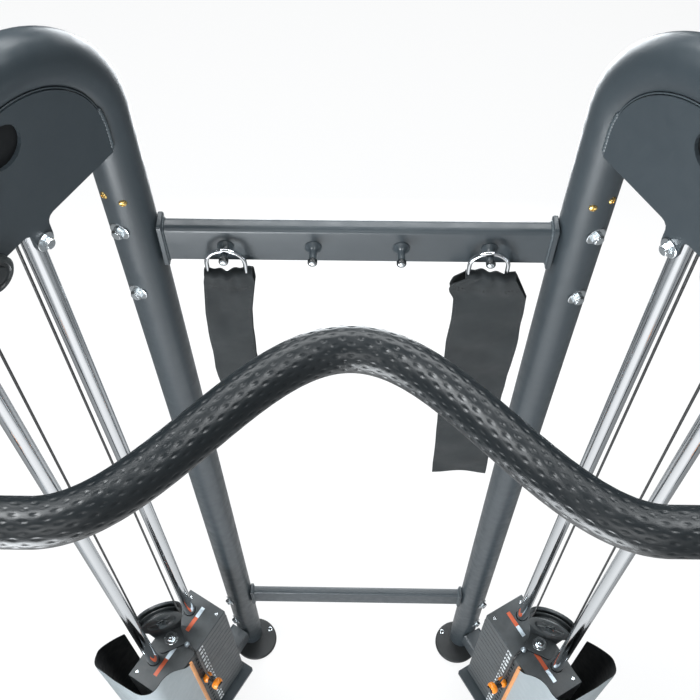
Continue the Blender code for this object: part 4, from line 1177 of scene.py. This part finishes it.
FLOOR_HALF = 30
ground = bpy.data.meshes.new("floor")
ground.from_pydata([(-FLOOR_HALF, -FLOOR_HALF, 0), (FLOOR_HALF, -FLOOR_HALF, 0),
                    (FLOOR_HALF, FLOOR_HALF, 0), (-FLOOR_HALF, FLOOR_HALF, 0)],
                   [], [(0, 1, 2, 3)])
floor = bpy.data.objects.new("floor", ground)
floor.location.z = -0.0005
scene = bpy.context.scene
scene.collection.objects.link(floor)
floor.data.materials.append(floor_material())


# ---- world and lights ------------------------------------------------------------------
def build_world():
    """White to the camera; as light, bright from the front, faint from the sides."""
    world = bpy.data.worlds.new("studio")
    scene.world = world
    world.use_nodes = True
    tree = world.node_tree
    space = add_node(tree, "TexCoord").outputs["Generated"]
    direction = add_node(tree, "SeparateXYZ", {0: space})
    forward = calculate(tree, "MULTIPLY", direction.outputs["Y"], -1.0)
    front = calculate(tree, "POWER", calculate(tree, "MAXIMUM", forward, 0.0), 1.5)
    sides = calculate(tree, "ABSOLUTE", direction.outputs["X"], 0.0)
    sides = calculate(tree, "POWER", sides, 2.0)
    level = calculate(tree, "ADD", calculate(tree, "MULTIPLY", front, 0.50),
                      calculate(tree, "MULTIPLY", sides, 0.05))
    level = calculate(tree, "ADD", level, 0.025)
    set_inputs(tree, tree.nodes["Background"], {"Color": (0.97, 0.985, 1.0, 1),
                                                "Strength": camera_switch(tree, level, seen=1.0)})


def softbox(name, spot, aim, size, power, tint):
    light = bpy.data.lights.new(name, "AREA")
    light.shape = "RECTANGLE"
    light.size, light.size_y = size
    light.energy = power
    light.color = tint
    item = bpy.data.objects.new(name, light)
    item.location = spot
    item.rotation_euler = (Vector(aim) - Vector(spot)).to_track_quat("-Z", "Y").to_euler()
    item.visible_camera = False
    scene.collection.objects.link(item)


COOL, SOFT, NEUTRAL = (0.93, 0.97, 1.0), (0.96, 0.985, 1.0), (0.97, 0.99, 1.0)

build_world()
softbox("box_low", spot=(-0.85, -1.75, 0.75), aim=(-0.1, -0.15, 2.05), size=(1.5, 1.1),
        power=70, tint=COOL)
softbox("box_rim", spot=(0, 2.0, 1.1), aim=(0, 0.3, 1.2), size=(1.1, 1.8), power=38, tint=COOL)
softbox("box_left", spot=(-1.9, 0.2, 4.7), aim=(-0.4, 0, 1.8), size=(1.5, 1.5), power=150,
        tint=SOFT)
softbox("box_right", spot=(1.6, 0.3, 4.7), aim=(0.3, 0, 1.8), size=(1.6, 1.6), power=70,
        tint=SOFT)
softbox("box_back", spot=(0, 2.6, 4.3), aim=(0, 0.3, 1.7), size=(3.0, 1.2), power=85, tint=SOFT)
softbox("box_front", spot=(-0.5, -3.6, 4.1), aim=(0, -0.1, 1.9), size=(2.6, 1.5), power=45,
        tint=NEUTRAL)


# ---- camera ----------------------------------------------------------------------------
def camera_matrix(place, yaw, pitch, roll):
    """Yaw turns from +Y towards +X, pitch tips downwards, roll turns about the view."""
    yaw, pitch, roll = math.radians(yaw), math.radians(pitch), math.radians(roll)
    level = Vector((math.sin(yaw), math.cos(yaw), 0))
    right = Vector((math.cos(yaw), -math.sin(yaw), 0))
    forward = level * math.cos(pitch) + Vector((0, 0, -math.sin(pitch)))
    down = -level * math.sin(pitch) + Vector((0, 0, -math.cos(pitch)))
    rolled_right = right * math.cos(roll) - down * math.sin(roll)
    rolled_down = right * math.sin(roll) + down * math.cos(roll)
    matrix = Matrix((rolled_right, -rolled_down, -forward)).transposed().to_4x4()
    matrix.translation = place
    return matrix


camera_data = bpy.data.cameras.new("camera")
camera_data.sensor_width = 36.0
camera_data.lens = 51.788571
camera_data.clip_end = 200.0
camera = bpy.data.objects.new("camera", camera_data)
scene.collection.objects.link(camera)
camera.matrix_world = camera_matrix(place=(0.0084, UPRIGHT_Y - 0.846, 2.79),
                                    yaw=-1.304, pitch=57.36, roll=-0.411)
scene.camera = camera
scene.view_settings.view_transform = "Standard"
scene.view_settings.look = "None"
